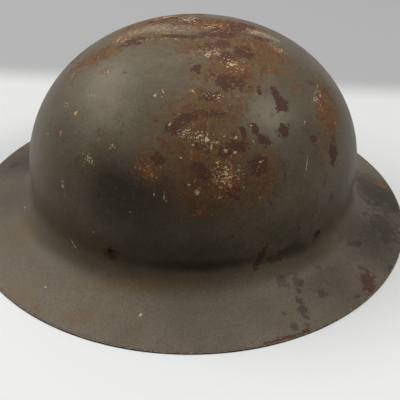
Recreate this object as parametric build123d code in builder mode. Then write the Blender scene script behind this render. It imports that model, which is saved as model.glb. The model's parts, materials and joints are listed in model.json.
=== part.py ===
from build123d import *
import os
from math import acos, asin, atan2, cos, degrees, hypot, radians, sin, tan

# Wide-brimmed pressed steel helmet with a high bowl, the leather liner that hangs inside it from
# six riveted tabs, and a chin strap in two halves that lies stowed under the bowl.
# Millimetres. X runs to the front, Y to the wearer's left and Z up. The origin is on the table
# that the brim stands on, under the middle of the brim.

# Shell
brim_length = 310.0
brim_width = 291.0
shell_height = 136.0
sheet = 1.2
bowl_length = 226.6
bowl_width = 201.7
bowl_forward = 2.5
wall_top = 43.0
flare_top = 29.0
flare_radius = 20.0
crown_flat_length = 62.0
edge_share = 0.83
dome_side_power = 2.21
dome_rise_power = 1.97
dome_steps = 8
flare_steps = 4

# Six holes round the foot of the bowl, with a sunk seat for a rivet head
hole_angles = (0, 54, 126, 180, 234, 306)
hole_names = ("front", "front_left", "rear_left", "rear", "rear_right", "front_right")
hole_height = 33.0
hole_fit = 0.1
seat_depth = 0.5
cut_over = 2.0

# Tubular rivets in those holes
tube_rivet_radius = 1.75
tube_rivet_bore = 1.1
tube_rivet_head = 2.6
tube_rivet_roll = 3.0
tube_rivet_roll_height = 0.7

# Spring steel tabs that carry the liner away from the shell
stand_off = 10.0
tab_sheet = 1.0
tab_width = 14.0
tab_gap = 0.35
tab_below = 6.5
tab_above = 7.0
tab_upright = 12.0
tab_bend = 1.6
tab_corner = 3.0

# Solid rivets
rivet_radius = 1.4
rivet_head = 3.1
rivet_head_height = 0.9
rivet_rim_share = 0.4
rivet_gap = 0.1

# Fibre band and the leather cradle inside it
band_sheet = 1.2
band_height = 28.0
band_above_rivet = 5.5
leather = 1.6
liner_fit = 0.15
cradle_below_band = 4.0
cradle_above_band = 3.0
crown_gap = 16.0
cradle_flat_length = 68.0
tongues = 8
tongue_hole_radius = 15.0
slot_root_above = 3.0
slot_inner_width = 5.0
slot_outer_width = 25.0

# Crown plate, its rivets and the cushion between it and the shell
plate_radius = 27.0
plate_sheet = 1.6
plate_gap = 0.05
plate_rivet_circle = 22.0
cushion_radius = 18.4
cushion_bore = 7.0
cushion_round = 4.5
cushion_gap = 0.5

# Rubber buffers between the band and the shell
buffer_angles = (27, 90, 153, 207, 270, 333)
buffer_names = ("front_left", "left", "rear_left", "rear_right", "right", "front_right")
buffer_radius = 6.0
buffer_recess_radius = 3.5
buffer_web = 2.6
buffer_gap = 0.7
buffer_round = 1.2

# Chin strap lugs, riveted to the band at both sides
lug_sheet = 1.0
lug_width = 15.0
lug_gap = 0.1
lug_above_band_foot = 13.0
lug_rivet_above_foot = 8.0
lug_rivet_spacing = 8.0
lug_corner = 2.5
swing_fit = 0.08

# Wire rings in the lugs
ring_wire = 2.6
ring_drop = 9.5
ring_inside_width = 18.5
ring_corner = 2.3

# Chin strap
strap_width = 16.0
strap_leather = 2.0
strap_fold_length = 22.0
strap_ramp_length = 7.0
strap_layer_gap = 0.15
strap_bend_radius = 130.0
strap_bend_angle = 14.0
long_strap_run = 89.0
short_strap_run = 26.0
buckle_fold_length = 20.0
strap_tip_round = 6.0
strap_hole_radius = 1.5
strap_hole_pitch = 13.0
strap_holes = 6
strap_tip_to_hole = 18.0
strap_rivet_along = 14.0

# Buckle and keeper
buckle_wire = 2.6
buckle_length = 16.0
buckle_tilt = 9.0
prong_thickness = 1.5
prong_width = 2.2
prong_reach = 2.2
prong_slot_side = 0.5
prong_slot_length = 6.0
keeper_wall = 1.2
keeper_length = 7.0
keeper_side_gap = 0.4
keeper_height_gap = 0.3
keeper_from_fold = 3.0

# Sizes that follow from those above
brim_half_length = brim_length / 2
brim_half_width = brim_width / 2
bowl_half_length = bowl_length / 2
bowl_half_width = bowl_width / 2
crown_half_length = crown_flat_length / 2
inner_half_length = bowl_half_length - sheet
inner_half_width = bowl_half_width - sheet
edge_height = sheet * edge_share
brim_reach = (brim_half_length - bowl_half_length + brim_half_width - bowl_half_width) / 2
edge_to_centre = hypot(brim_reach - flare_radius, flare_top - edge_height)
brim_slope = degrees(
    atan2(flare_top - edge_height, brim_reach - flare_radius) - asin(flare_radius / edge_to_centre)
)
band_half_length = inner_half_length - stand_off
band_half_width = inner_half_width - stand_off
band_rivet_height = hole_height + tab_above + tab_upright - band_above_rivet
band_top = band_rivet_height + band_above_rivet
band_foot = band_top - band_height
cradle_half_length = band_half_length - band_sheet - liner_fit
cradle_half_width = band_half_width - band_sheet - liner_fit
cradle_foot = band_foot - cradle_below_band
cradle_shoulder = band_top + cradle_above_band
cradle_top = shell_height - sheet - crown_gap
slot_root = cradle_shoulder + slot_root_above
ring_bore = ring_wire / 2 + swing_fit
fold_radius = ring_bore + strap_leather
strap_underside = keeper_wall + keeper_height_gap
bar_height = strap_underside + fold_radius
lug_axis_height = bar_height + ring_drop
lug_reach = lug_gap + lug_sheet + ring_bore


def dome_levels(foot, top, half_length, half_width, flat_half_length):
    """Heights and half axes of the ellipses that a dome is lofted through."""
    flat_share = flat_half_length / half_length
    last = acos(flat_share ** (dome_side_power / 2))
    full_rise = sin(last) ** (2 / dome_rise_power)
    levels = []
    for step in range(dome_steps + 1):
        turn = last * step / dome_steps
        side = cos(turn) ** (2 / dome_side_power)
        rise = sin(turn) ** (2 / dome_rise_power) / full_rise
        levels.append((foot + (top - foot) * rise, half_length * side, half_width * side, bowl_forward))
    return levels


def brim_level(out, height):
    """Ellipse of the brim at a distance out from the bowl's wall."""
    share = out / brim_reach
    return (
        height,
        bowl_half_length + (brim_half_length - bowl_half_length) * share,
        bowl_half_width + (brim_half_width - bowl_half_width) * share,
        bowl_forward * (1 - share),
    )


def shell_stretches(depth, foot, dome):
    """Brim, flare, wall and dome of the shell's face at a depth under its outside.

    Each stretch is the levels of one loft, and whether that loft is ruled.
    """
    radius = flare_radius + depth
    slope_top = flare_top - radius * cos(radians(brim_slope))
    slope_out = flare_radius - radius * sin(radians(brim_slope))
    foot_out = slope_out + (slope_top - foot) / tan(radians(brim_slope))
    wall_foot = (flare_top, *dome[0][1:])
    flare = []
    for step in range(flare_steps):
        turn = radians((90 - brim_slope) * (1 - step / flare_steps))
        flare.append(brim_level(flare_radius - radius * cos(turn), flare_top - radius * sin(turn)))
    flare.append(wall_foot)
    return [
        ([brim_level(foot_out, foot), flare[0]], True),
        (flare, False),
        ([wall_foot, dome[0]], True),
        (dome, False),
    ]


def ellipses(levels):
    """One elliptical face for each level."""
    faces = []
    for height, half_length, half_width, forward in levels:
        with BuildSketch(Plane.XY.offset(height)) as outline:
            with Locations((forward, 0)):
                Ellipse(half_length, half_width)
        faces.append(outline.sketch.face())
    return faces


def wall_plane(half_length, half_width, angle, height, along=0.0):
    """Plane on an upright elliptical wall, with Z pointing out of the wall and Y up."""
    turn = radians(angle)
    normal = Vector(cos(turn) / half_length, sin(turn) / half_width, 0).normalized()
    side = Vector(0, 0, 1).cross(normal)
    point = Vector(bowl_forward + half_length * cos(turn), half_width * sin(turn), height)
    return Plane(origin=point + side * along, x_dir=side, z_dir=normal)


def upright_section(plane):
    """Upright plane through a wall plane's axis: X points out of the wall and Y up."""
    return Plane(origin=plane.origin, x_dir=plane.z_dir, z_dir=-plane.x_dir)


def gap_inward(plane, half_length, half_width):
    """Distance from a wall plane back along its normal to a smaller elliptical wall."""
    start = plane.origin - Vector(bowl_forward, 0, 0)
    way = plane.z_dir
    square = (way.X / half_length) ** 2 + (way.Y / half_width) ** 2
    cross = start.X * way.X / half_length**2 + start.Y * way.Y / half_width**2
    rest = (start.X / half_length) ** 2 + (start.Y / half_width) ** 2 - 1
    return (cross - (cross**2 - square * rest) ** 0.5) / square


def leather_face(plane):
    """Place of the cradle's inner face on a wall plane's axis."""
    return -gap_inward(plane, cradle_half_length - leather, cradle_half_width - leather)


def button_rivet(plane, inner_face, outer_face, radius=rivet_radius, head=rivet_head):
    """Solid rivet along a plane's Z, with a domed head past each of two faces."""
    rim = rivet_head_height * rivet_rim_share
    rise = rivet_head_height - rim
    dome = (head**2 + rise**2) / (2 * rise)
    inner = inner_face - rivet_gap
    outer = outer_face + rivet_gap
    with BuildSketch(upright_section(plane)) as half:
        with BuildLine():
            RadiusArc((inner - rivet_head_height, 0), (inner - rim, head), dome)
            Polyline(
                (inner - rim, head),
                (inner, head),
                (inner, radius),
                (outer, radius),
                (outer, head),
                (outer + rim, head),
            )
            RadiusArc((outer + rim, head), (outer + rivet_head_height, 0), dome)
            Line((outer + rivet_head_height, 0), (inner - rivet_head_height, 0))
        make_face()
    revolve(half.sketch, axis=Axis(plane.origin, plane.z_dir))


def drill(planes, radius, depth):
    """Cut a straight hole back into the part from each plane."""
    with Locations(*[plane.offset(cut_over) for plane in planes]):
        Hole(radius, depth=depth + 2 * cut_over)


def wire_loop(plane, length, inside_width, wire, corner):
    """Round wire bent to a closed rectangle that starts on a plane's origin and runs along its X."""
    width = inside_width + wire
    with BuildSketch(Plane(plane.location * Location((length / 2, 0, 0)))) as outline:
        RectangleRounded(length, width, corner)
    path = outline.sketch.face().outer_wire()
    with BuildSketch(Plane(origin=path @ 0, z_dir=path % 0)) as section:
        Circle(wire / 2)
    sweep(section.sketch, path=path)


def strap_fold(plane, length):
    """Strap end folded round a bar on a plane's Z axis and doubled back along its X."""
    layer = -ring_bore + strap_layer_gap
    with BuildSketch(plane) as outline:
        Circle(fold_radius)
        with Locations((length / 2, -ring_bore - strap_leather / 2)):
            Rectangle(length, strap_leather)
        with BuildLine():
            Polyline(
                (0, ring_bore),
                (0, fold_radius),
                (strap_ramp_length, layer + strap_leather),
                (length, layer + strap_leather),
                (length, layer),
                (strap_ramp_length, layer),
                close=True,
            )
        make_face()
        with BuildLine():
            Polyline((0, -ring_bore), (0, ring_bore), (strap_ramp_length, layer), (length, layer),
                     (length, -ring_bore), close=True)
        make_face(mode=Mode.SUBTRACT)
        Circle(ring_bore, mode=Mode.SUBTRACT)
    extrude(outline.sketch, amount=strap_width / 2, both=True)


def strap_run(start, inward, run):
    """Plan line of a strap's single layer: a slight bend to its right and then a straight run."""
    middle = Plane(origin=start, x_dir=inward, z_dir=(0, 0, 1))
    with BuildLine(middle) as line:
        bend = JernArc((0, 0), (1, 0), strap_bend_radius, -strap_bend_angle)
        Line(bend @ 1, bend @ 1 + (bend % 1) * run)
    return line.line


# Shell: stacked lofts through ellipses, less the same a sheet's thickness in, and six holes
dome_outside = dome_levels(wall_top, shell_height, bowl_half_length, bowl_half_width, crown_half_length)
dome_inside = dome_levels(
    wall_top, shell_height - sheet, inner_half_length, inner_half_width, crown_half_length - sheet / 2
)
hole_planes = [wall_plane(bowl_half_length, bowl_half_width, turn, hole_height) for turn in hole_angles]
with BuildPart() as shell_hollow:
    for levels, ruled in shell_stretches(sheet, -cut_over, dome_inside):
        loft(ellipses(levels), ruled=ruled)

with BuildPart() as shell:
    with BuildSketch():
        Ellipse(brim_half_length, brim_half_width)
    extrude(amount=edge_height)
    for levels, ruled in shell_stretches(0, edge_height, dome_outside):
        loft(ellipses(levels), ruled=ruled)
    add(shell_hollow.part, mode=Mode.SUBTRACT)
    with Locations(*hole_planes):
        CounterBoreHole(
            tube_rivet_radius + hole_fit,
            tube_rivet_head + hole_fit,
            seat_depth,
            depth=sheet + cut_over,
        )
shell.part.label = "shell"

# Tubular rivets: a flush head in the sunk seat, an open bore and a rolled end on the tab
with BuildPart() as hanger_rivets:
    for plane in hole_planes:
        seat = -seat_depth
        tail = -sheet - tab_gap - tab_sheet - rivet_gap
        with BuildSketch(upright_section(plane)) as half:
            with BuildLine():
                Polyline(
                    (0, tube_rivet_bore),
                    (0, tube_rivet_head),
                    (seat, tube_rivet_head),
                    (seat, tube_rivet_radius),
                    (tail, tube_rivet_radius),
                    (tail, tube_rivet_roll),
                )
                RadiusArc(
                    (tail, tube_rivet_roll),
                    (tail - tube_rivet_roll_height, tube_rivet_bore),
                    -tube_rivet_roll + tube_rivet_bore,
                )
                Line((tail - tube_rivet_roll_height, tube_rivet_bore), (0, tube_rivet_bore))
            make_face()
        revolve(half.sketch, axis=Axis(plane.origin, plane.z_dir))
hanger_rivets.part.label = "hanger_rivets"

# Tabs: bent up from strip, flat on the shell below and on the band above
band_rivet_planes = []
band_rivet_grips = []
tab_parts = []
for name, plane in zip(hole_names, hole_planes):
    band_away = gap_inward(plane, band_half_length, band_half_width)
    shell_side = -sheet - tab_gap - tab_sheet / 2
    band_side = -band_away + tab_gap + tab_sheet / 2
    with BuildPart() as tab:
        with BuildSketch(upright_section(plane)):
            with BuildLine():
                FilletPolyline(
                    (shell_side, -tab_below),
                    (shell_side, tab_above),
                    (band_side, tab_above),
                    (band_side, tab_above + tab_upright),
                    radius=tab_bend,
                )
            trace(line_width=tab_sheet)
        extrude(amount=tab_width / 2, both=True)
        through = tab.edges().filter_by(Axis(plane.origin, plane.z_dir))
        fillet(through.group_by(Axis.Z)[0] + through.group_by(Axis.Z)[-1], tab_corner)
        band_seat = Plane(plane.location * Location((0, tab_above + tab_upright - band_above_rivet, 0)))
        drill([plane], tube_rivet_radius + hole_fit, sheet + tab_gap + tab_sheet)
        drill([band_seat.offset(band_side)], rivet_radius + hole_fit, tab_sheet)
    tab.part.label = "hanger_tab_" + name
    tab_parts.append(tab.part)
    band_rivet_planes.append(band_seat)
    band_rivet_grips.append((leather_face(band_seat), band_side + tab_sheet / 2))

# Seats on the band for the buffers and the strap lugs
buffer_planes = [wall_plane(band_half_length, band_half_width, turn, band_rivet_height)
                 for turn in buffer_angles]
lug_angles = {"left": 90, "right": 270}
lug_rivet_height = band_foot + lug_rivet_above_foot
lug_rivet_planes = [
    wall_plane(band_half_length, band_half_width, turn, lug_rivet_height, along)
    for turn in lug_angles.values()
    for along in (-lug_rivet_spacing / 2, lug_rivet_spacing / 2)
]
lug_rivet_edge = wall_plane(
    band_half_length, band_half_width, lug_angles["left"], lug_rivet_height, lug_rivet_spacing / 2 + rivet_head
)
liner_depth = band_sheet + liner_fit + leather

# Fibre band
with BuildPart() as liner_band:
    with BuildSketch(Plane.XY.offset(band_foot)):
        with Locations((bowl_forward, 0)):
            Ellipse(band_half_length, band_half_width)
            Ellipse(band_half_length - band_sheet, band_half_width - band_sheet, mode=Mode.SUBTRACT)
    extrude(amount=band_height)
    drill(buffer_planes + lug_rivet_planes, rivet_radius + hole_fit, liner_depth)
    for plane, (inner_end, outer_end) in zip(band_rivet_planes, band_rivet_grips):
        drill([plane.offset(outer_end)], rivet_radius + hole_fit, outer_end - inner_end)
liner_band.part.label = "liner_band"

# Leather cradle: a domed cap cut into tongues that meet under the crown plate
cradle_outside = dome_levels(
    cradle_shoulder, cradle_top, cradle_half_length, cradle_half_width, cradle_flat_length / 2
)
cradle_inside = dome_levels(
    cradle_shoulder,
    cradle_top - leather,
    cradle_half_length - leather,
    cradle_half_width - leather,
    cradle_flat_length / 2 - leather / 2,
)
with BuildPart() as cradle_hollow:
    loft(ellipses([(cradle_foot - cut_over, *cradle_inside[0][1:]), cradle_inside[0]]), ruled=True)
    loft(ellipses(cradle_inside))

with BuildPart() as leather_cradle:
    loft(ellipses([(cradle_foot, *cradle_outside[0][1:]), cradle_outside[0]]), ruled=True)
    loft(ellipses(cradle_outside))
    add(cradle_hollow.part, mode=Mode.SUBTRACT)
    with Locations((bowl_forward, 0, cradle_top + cut_over)):
        Hole(tongue_hole_radius, depth=leather + 2 * cut_over)
    for slot in range(tongues):
        turn = 360 / tongues * (slot + 0.5)
        reach = 1 / hypot(cos(radians(turn)) / cradle_half_length, sin(radians(turn)) / cradle_half_width)
        growth = (slot_outer_width - slot_inner_width) / (cradle_half_length - tongue_hole_radius)
        root_width = slot_inner_width + growth * (reach - leather - tongue_hole_radius)
        past = reach + cut_over
        past_width = slot_inner_width + growth * (past - tongue_hole_radius)
        inside = tongue_hole_radius - cut_over
        side = Plane(origin=(bowl_forward, 0, slot_root + root_width / 2), x_dir=(1, 0, 0))
        side = side.rotated((0, 0, turn))
        with BuildSketch(side) as gap:
            with BuildLine():
                Polyline(
                    (inside, -slot_inner_width / 2),
                    (past, -past_width / 2),
                    (past, past_width / 2),
                    (inside, slot_inner_width / 2),
                    close=True,
                )
            make_face()
        extrude(gap.sketch, amount=cradle_top, mode=Mode.SUBTRACT)
        upright = Plane(origin=side.origin, x_dir=side.y_dir, z_dir=side.x_dir).offset(reach / 2)
        with BuildSketch(upright) as root:
            Circle(root_width / 2)
        extrude(root.sketch, amount=reach, mode=Mode.SUBTRACT)
    drill(buffer_planes + lug_rivet_planes, rivet_radius + hole_fit, liner_depth)
    for plane, (inner_end, outer_end) in zip(band_rivet_planes, band_rivet_grips):
        drill([plane.offset(outer_end)], rivet_radius + hole_fit, outer_end - inner_end)
    tongue_turns = [360 / tongues * tongue for tongue in range(tongues)]
    plate_rivet_planes = [
        Plane(
            origin=(
                bowl_forward + plate_rivet_circle * cos(radians(turn)),
                plate_rivet_circle * sin(radians(turn)),
                cradle_top,
            )
        )
        for turn in tongue_turns
    ]
    drill(plate_rivet_planes, rivet_radius + hole_fit, leather)
leather_cradle.part.label = "leather_cradle"

# Rivets of the tabs, the buffers and the lugs, all through the band and the leather
with BuildPart() as band_rivets:
    for plane, (inner_end, outer_end) in zip(band_rivet_planes, band_rivet_grips):
        button_rivet(plane, inner_end, outer_end)
band_rivets.part.label = "band_rivets"

with BuildPart() as buffer_rivets:
    for plane in buffer_planes:
        button_rivet(plane, leather_face(plane), buffer_web)
buffer_rivets.part.label = "buffer_rivets"

with BuildPart() as lug_rivets:
    for plane in lug_rivet_planes:
        button_rivet(plane, leather_face(lug_rivet_edge), lug_gap + lug_sheet)
lug_rivets.part.label = "lug_rivets"

# Rubber buffers: cups that stand on the band, with the rivet head down in the cup
buffer_parts = []
for name, plane in zip(buffer_names, buffer_planes):
    wall_away = -gap_inward(plane, inner_half_length, inner_half_width)
    with BuildPart() as buffer:
        with BuildSketch(plane.offset(liner_fit / 2)):
            Circle(buffer_radius)
        extrude(amount=wall_away - buffer_gap - liner_fit / 2)
        outer_end = buffer.faces().sort_by(Axis(plane.origin, plane.z_dir))[-1]
        fillet(outer_end.edges(), buffer_round)
        with Locations(plane.offset(wall_away - buffer_gap)):
            CounterBoreHole(
                rivet_radius + hole_fit,
                buffer_recess_radius,
                wall_away - buffer_gap - buffer_web,
                depth=wall_away,
            )
    buffer.part.label = "buffer_" + name
    buffer_parts.append(buffer.part)

# Crown plate over the tips of the tongues
with BuildPart() as crown_plate:
    with BuildSketch(Plane.XY.offset(cradle_top + plate_gap)):
        with Locations((bowl_forward, 0)):
            Circle(plate_radius)
            Circle(cushion_bore, mode=Mode.SUBTRACT)
    extrude(amount=plate_sheet)
    drill([plane.offset(plate_gap + plate_sheet) for plane in plate_rivet_planes],
          rivet_radius + hole_fit, plate_sheet)
crown_plate.part.label = "crown_plate"

with BuildPart() as crown_rivets:
    for plane in plate_rivet_planes:
        button_rivet(plane, -leather, plate_gap + plate_sheet)
crown_rivets.part.label = "crown_rivets"

# Rubber ring between the crown plate and the shell
cushion_foot = cradle_top + 2 * plate_gap + plate_sheet
with BuildPart() as crown_cushion:
    with BuildSketch(Plane.XY.offset(cushion_foot)):
        with Locations((bowl_forward, 0)):
            Circle(cushion_radius)
            Circle(cushion_bore, mode=Mode.SUBTRACT)
    extrude(amount=shell_height - sheet - cushion_gap - cushion_foot)
    fillet(crown_cushion.edges().group_by(Axis.Z)[-1], cushion_round)
crown_cushion.part.label = "crown_cushion"

# Chin strap lugs: a strip folded round the ring's top bar and riveted to the band
lug_parts = {}
ring_parts = {}
bar_points = {}
for side_name, turn in lug_angles.items():
    foot = wall_plane(band_half_length, band_half_width, turn, 0)
    with BuildPart() as lug:
        with BuildSketch(upright_section(foot)):
            plate_height = band_foot + lug_above_band_foot - lug_axis_height
            with Locations((lug_gap + lug_sheet / 2, lug_axis_height + plate_height / 2)):
                Rectangle(lug_sheet, plate_height)
            with Locations((lug_reach, lug_axis_height)):
                Circle(ring_bore + lug_sheet)
                Circle(ring_bore, mode=Mode.SUBTRACT)
        extrude(amount=lug_width / 2, both=True)
        through = lug.edges().filter_by(Axis(foot.origin, foot.z_dir))
        fillet(through.group_by(Axis.Z)[-1], lug_corner)
        for along in (-lug_rivet_spacing / 2, lug_rivet_spacing / 2):
            seat = Plane(foot.location * Location((along, lug_rivet_height, 0)))
            drill([seat.offset(lug_gap + lug_sheet)], rivet_radius + hole_fit, lug_sheet)
    lug.part.label = "strap_lug_" + side_name
    lug_parts[side_name] = lug.part

    axle = foot.origin + foot.z_dir * lug_reach + Vector(0, 0, lug_axis_height)
    with BuildPart() as ring:
        hanging = Plane(origin=axle, x_dir=(0, 0, -1), z_dir=foot.z_dir)
        wire_loop(hanging, ring_drop, ring_inside_width, ring_wire, ring_corner)
    ring.part.label = "strap_ring_" + side_name
    ring_parts[side_name] = ring.part
    bar_points[side_name] = axle - Vector(0, 0, ring_drop)

# Long half of the chin strap, on the right, with the holes for the prong
right_way = Vector(0, 1, 0)
right_bar = bar_points["right"]
right_fold = Plane(origin=right_bar, x_dir=right_way, z_dir=(1, 0, 0))
layer_middle = Vector(0, 0, -ring_bore - strap_leather / 2)
fold_top = -ring_bore + strap_layer_gap + strap_leather
with BuildPart() as long_strap:
    strap_fold(right_fold, strap_fold_length)
    run = strap_run(right_bar + right_way * strap_fold_length + layer_middle, right_way, long_strap_run)
    with BuildSketch(Plane(origin=run @ 0, x_dir=(1, 0, 0), z_dir=run % 0)) as strip:
        Rectangle(strap_width, strap_leather)
    sweep(strip.sketch, path=run)
    tip_edges = long_strap.edges().filter_by(Axis.Z).sort_by(Axis.Y)[-2:]
    fillet(tip_edges, strap_tip_round)
    tip = run @ 1
    back = -(run % 1)
    hole_points = [tip + back * (strap_tip_to_hole + strap_hole_pitch * hole) for hole in range(strap_holes)]
    drill([Plane(origin=point + Vector(0, 0, strap_leather / 2)) for point in hole_points],
          strap_hole_radius, strap_leather)
    drill([Plane(origin=right_bar + right_way * strap_rivet_along)], rivet_radius + hole_fit, fold_radius)
long_strap.part.label = "long_strap"

with BuildPart() as long_strap_rivet:
    button_rivet(Plane(origin=right_bar + right_way * strap_rivet_along), -fold_radius, fold_top)
long_strap_rivet.part.label = "long_strap_rivet"

# Short half, on the left, folded round the buckle's heel bar at its far end
left_way = Vector(0, -1, 0)
left_bar = bar_points["left"]
left_fold = Plane(origin=left_bar, x_dir=left_way, z_dir=(-1, 0, 0))
short_line = strap_run(left_bar + left_way * strap_fold_length + layer_middle, left_way, short_strap_run)
buckle_way = short_line % 1
heel_bar = short_line @ 1 + buckle_way * buckle_fold_length - layer_middle
heel_side = Vector(0, 0, 1).cross(buckle_way)
buckle_fold = Plane(origin=heel_bar, x_dir=-buckle_way, z_dir=heel_side)
buckle_rivet_seat = Plane(origin=heel_bar - buckle_way * strap_rivet_along)
with BuildPart() as short_strap:
    strap_fold(left_fold, strap_fold_length)
    with BuildSketch(Plane(origin=short_line @ 0, x_dir=(1, 0, 0), z_dir=short_line % 0)) as strip:
        Rectangle(strap_width, strap_leather)
    sweep(strip.sketch, path=short_line)
    strap_fold(buckle_fold, buckle_fold_length)
    with BuildSketch(buckle_fold) as slot:
        with Locations(((prong_slot_length - fold_radius - cut_over) / 2, 0)):
            Rectangle(prong_slot_length + fold_radius + cut_over, 2 * (fold_radius + cut_over))
    extrude(slot.sketch, amount=prong_width / 2 + prong_slot_side, both=True, mode=Mode.SUBTRACT)
    drill([Plane(origin=left_bar + left_way * strap_rivet_along), buckle_rivet_seat],
          rivet_radius + hole_fit, fold_radius)
short_strap.part.label = "short_strap"

with BuildPart() as short_strap_rivets:
    for seat in (Plane(origin=left_bar + left_way * strap_rivet_along), buckle_rivet_seat):
        button_rivet(seat, -fold_radius, fold_top)
short_strap_rivets.part.label = "short_strap_rivets"

# Buckle frame of round wire, tipped down until its front bar is near the table
tipped_way = Vector(
    buckle_way.X * cos(radians(buckle_tilt)),
    buckle_way.Y * cos(radians(buckle_tilt)),
    -sin(radians(buckle_tilt)),
)
frame_plane = Plane(origin=heel_bar, x_dir=tipped_way, z_dir=tipped_way.cross(heel_side))
with BuildPart() as buckle_frame:
    wire_loop(frame_plane, buckle_length, ring_inside_width, buckle_wire, ring_corner)
buckle_frame.part.label = "buckle_frame"

with BuildPart() as buckle_prong:
    prong_side = Plane(origin=heel_bar, x_dir=tipped_way, z_dir=-heel_side)
    arm = buckle_length + prong_reach
    eye = ring_bore + prong_thickness
    with BuildSketch(prong_side) as outline:
        Circle(eye)
        with BuildLine():
            Polyline(
                (0, ring_bore),
                (arm, ring_bore),
                (arm, ring_bore + prong_thickness / 2),
                (arm - prong_reach, eye),
                (0, eye),
                close=True,
            )
        make_face()
        Circle(ring_bore, mode=Mode.SUBTRACT)
    extrude(outline.sketch, amount=prong_width / 2, both=True)
buckle_prong.part.label = "buckle_prong"

# Keeper: a leather loop with room for the long half's end over the short half
keeper_inside_height = 2 * strap_leather + 2 * keeper_height_gap
keeper_inside_width = strap_width + 2 * keeper_side_gap
keeper_centre = (
    short_line @ 1
    - buckle_way * keeper_from_fold
    + Vector(0, 0, keeper_inside_height / 2 - strap_leather / 2 - keeper_height_gap)
)
with BuildPart() as strap_keeper:
    with BuildSketch(Plane(origin=keeper_centre, x_dir=heel_side, z_dir=-buckle_way)):
        RectangleRounded(
            keeper_inside_width + 2 * keeper_wall, keeper_inside_height + 2 * keeper_wall, keeper_wall
        )
        Rectangle(keeper_inside_width, keeper_inside_height, mode=Mode.SUBTRACT)
    extrude(amount=keeper_length)
strap_keeper.part.label = "strap_keeper"

# One file for each piece, and one for each set of like rivets
os.makedirs("parts", exist_ok=True)
pieces = [
    shell.part,
    hanger_rivets.part,
    liner_band.part,
    leather_cradle.part,
    band_rivets.part,
    buffer_rivets.part,
    lug_rivets.part,
    crown_plate.part,
    crown_rivets.part,
    crown_cushion.part,
    long_strap.part,
    long_strap_rivet.part,
    short_strap.part,
    short_strap_rivets.part,
    buckle_frame.part,
    buckle_prong.part,
    strap_keeper.part,
]
pieces += tab_parts + buffer_parts + list(lug_parts.values()) + list(ring_parts.values())
for piece in pieces:
    export_step(piece, f"parts/{piece.label}.step")
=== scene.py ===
"""Looks of a wide-brimmed steel helmet: its worn shell, its riveted liner and its chin strap."""

import json
import logging
import math
from dataclasses import dataclass
from enum import Enum, IntEnum
from typing import NamedTuple

import bpy
import numpy as np
from mathutils import Matrix, Vector
from mathutils.bvhtree import BVHTree

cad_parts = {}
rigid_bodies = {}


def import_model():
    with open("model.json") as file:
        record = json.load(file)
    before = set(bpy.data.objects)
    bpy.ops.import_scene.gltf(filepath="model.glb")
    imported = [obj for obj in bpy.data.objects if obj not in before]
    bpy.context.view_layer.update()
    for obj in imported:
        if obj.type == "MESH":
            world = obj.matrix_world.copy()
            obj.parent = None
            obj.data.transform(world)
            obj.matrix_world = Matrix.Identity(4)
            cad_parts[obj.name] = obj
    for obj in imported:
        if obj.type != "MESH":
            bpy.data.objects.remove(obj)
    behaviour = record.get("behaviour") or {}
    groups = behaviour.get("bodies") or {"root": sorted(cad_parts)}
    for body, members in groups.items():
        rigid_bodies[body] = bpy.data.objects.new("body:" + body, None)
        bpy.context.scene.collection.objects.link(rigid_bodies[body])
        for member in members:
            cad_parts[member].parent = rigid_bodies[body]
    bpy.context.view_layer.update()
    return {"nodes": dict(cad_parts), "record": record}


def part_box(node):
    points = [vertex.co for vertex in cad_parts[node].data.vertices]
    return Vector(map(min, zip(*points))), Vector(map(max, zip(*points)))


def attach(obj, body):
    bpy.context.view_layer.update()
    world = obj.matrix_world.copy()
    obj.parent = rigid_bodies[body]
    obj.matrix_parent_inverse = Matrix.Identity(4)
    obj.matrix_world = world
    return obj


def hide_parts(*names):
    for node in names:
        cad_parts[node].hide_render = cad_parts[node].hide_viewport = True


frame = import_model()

MM = 0.001
UP = Vector((0, 0, 1))
Socket = bpy.types.NodeSocket
Tree = bpy.types.NodeTree
Material = bpy.types.Material
Object = bpy.types.Object

log = logging.getLogger("helmet")


def linear(code: str) -> tuple[float, float, float, float]:
    """Turn an sRGB hex colour into the linear colour that a socket takes, by the standard's curve.

    Args:
        code: Colour such as "#5f584d".

    Returns:
        Linear red, green, blue and an alpha of 1.
    """
    parts = [int(code[place : place + 2], 16) / 255 for place in (1, 3, 5)]
    return (*[c / 12.92 if c <= 0.04045 else ((c + 0.055) / 1.055) ** 2.4 for c in parts], 1.0)


def add_node(tree: Tree, kind: str, inputs: dict | None = None, output: int | str = 0, **settings) -> Socket:
    """Add a node with its settings, and set or link its inputs.

    Args:
        tree: Node tree that gets the node.
        kind: Blender's name for the node's type.
        inputs: Socket name or number, with a value to set or an output to link.
        output: Name or number of the output that is handed back.
        **settings: Properties of the node.

    Returns:
        The chosen output socket, or the node's first input where it has no output.
    """
    node = tree.nodes.new(kind)
    for name, value in settings.items():
        setattr(node, name, value)
    for socket, value in (inputs or {}).items():
        if isinstance(value, Socket):
            tree.links.new(value, node.inputs[socket])
        else:
            node.inputs[socket].default_value = value
    return node.outputs[output] if len(node.outputs) else node.inputs[0]


def new_material(name: str) -> tuple[Material, Tree, Socket]:
    """Make an empty node material.

    Args:
        name: Name of the finish.

    Returns:
        The material, its tree, and the point on the object in millimetres.
    """
    material = bpy.data.materials.new(name)
    material.use_nodes = True
    tree = material.node_tree
    tree.nodes.clear()
    place = add_node(tree, "ShaderNodeTexCoord", output="Object")
    point = add_node(tree, "ShaderNodeVectorMath", {0: place, "Scale": 1 / MM}, operation="SCALE")
    return material, tree, point


class Ramp(NamedTuple):
    """Where a mask sets in, where it is full, and its value at either end."""

    low: float
    high: float
    least: float = 0.0
    most: float = 1.0

    @property
    def sockets(self) -> dict[int, float]:
        """Its values by the number of the Map Range socket that takes each."""
        return dict(enumerate(self, start=1))


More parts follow.
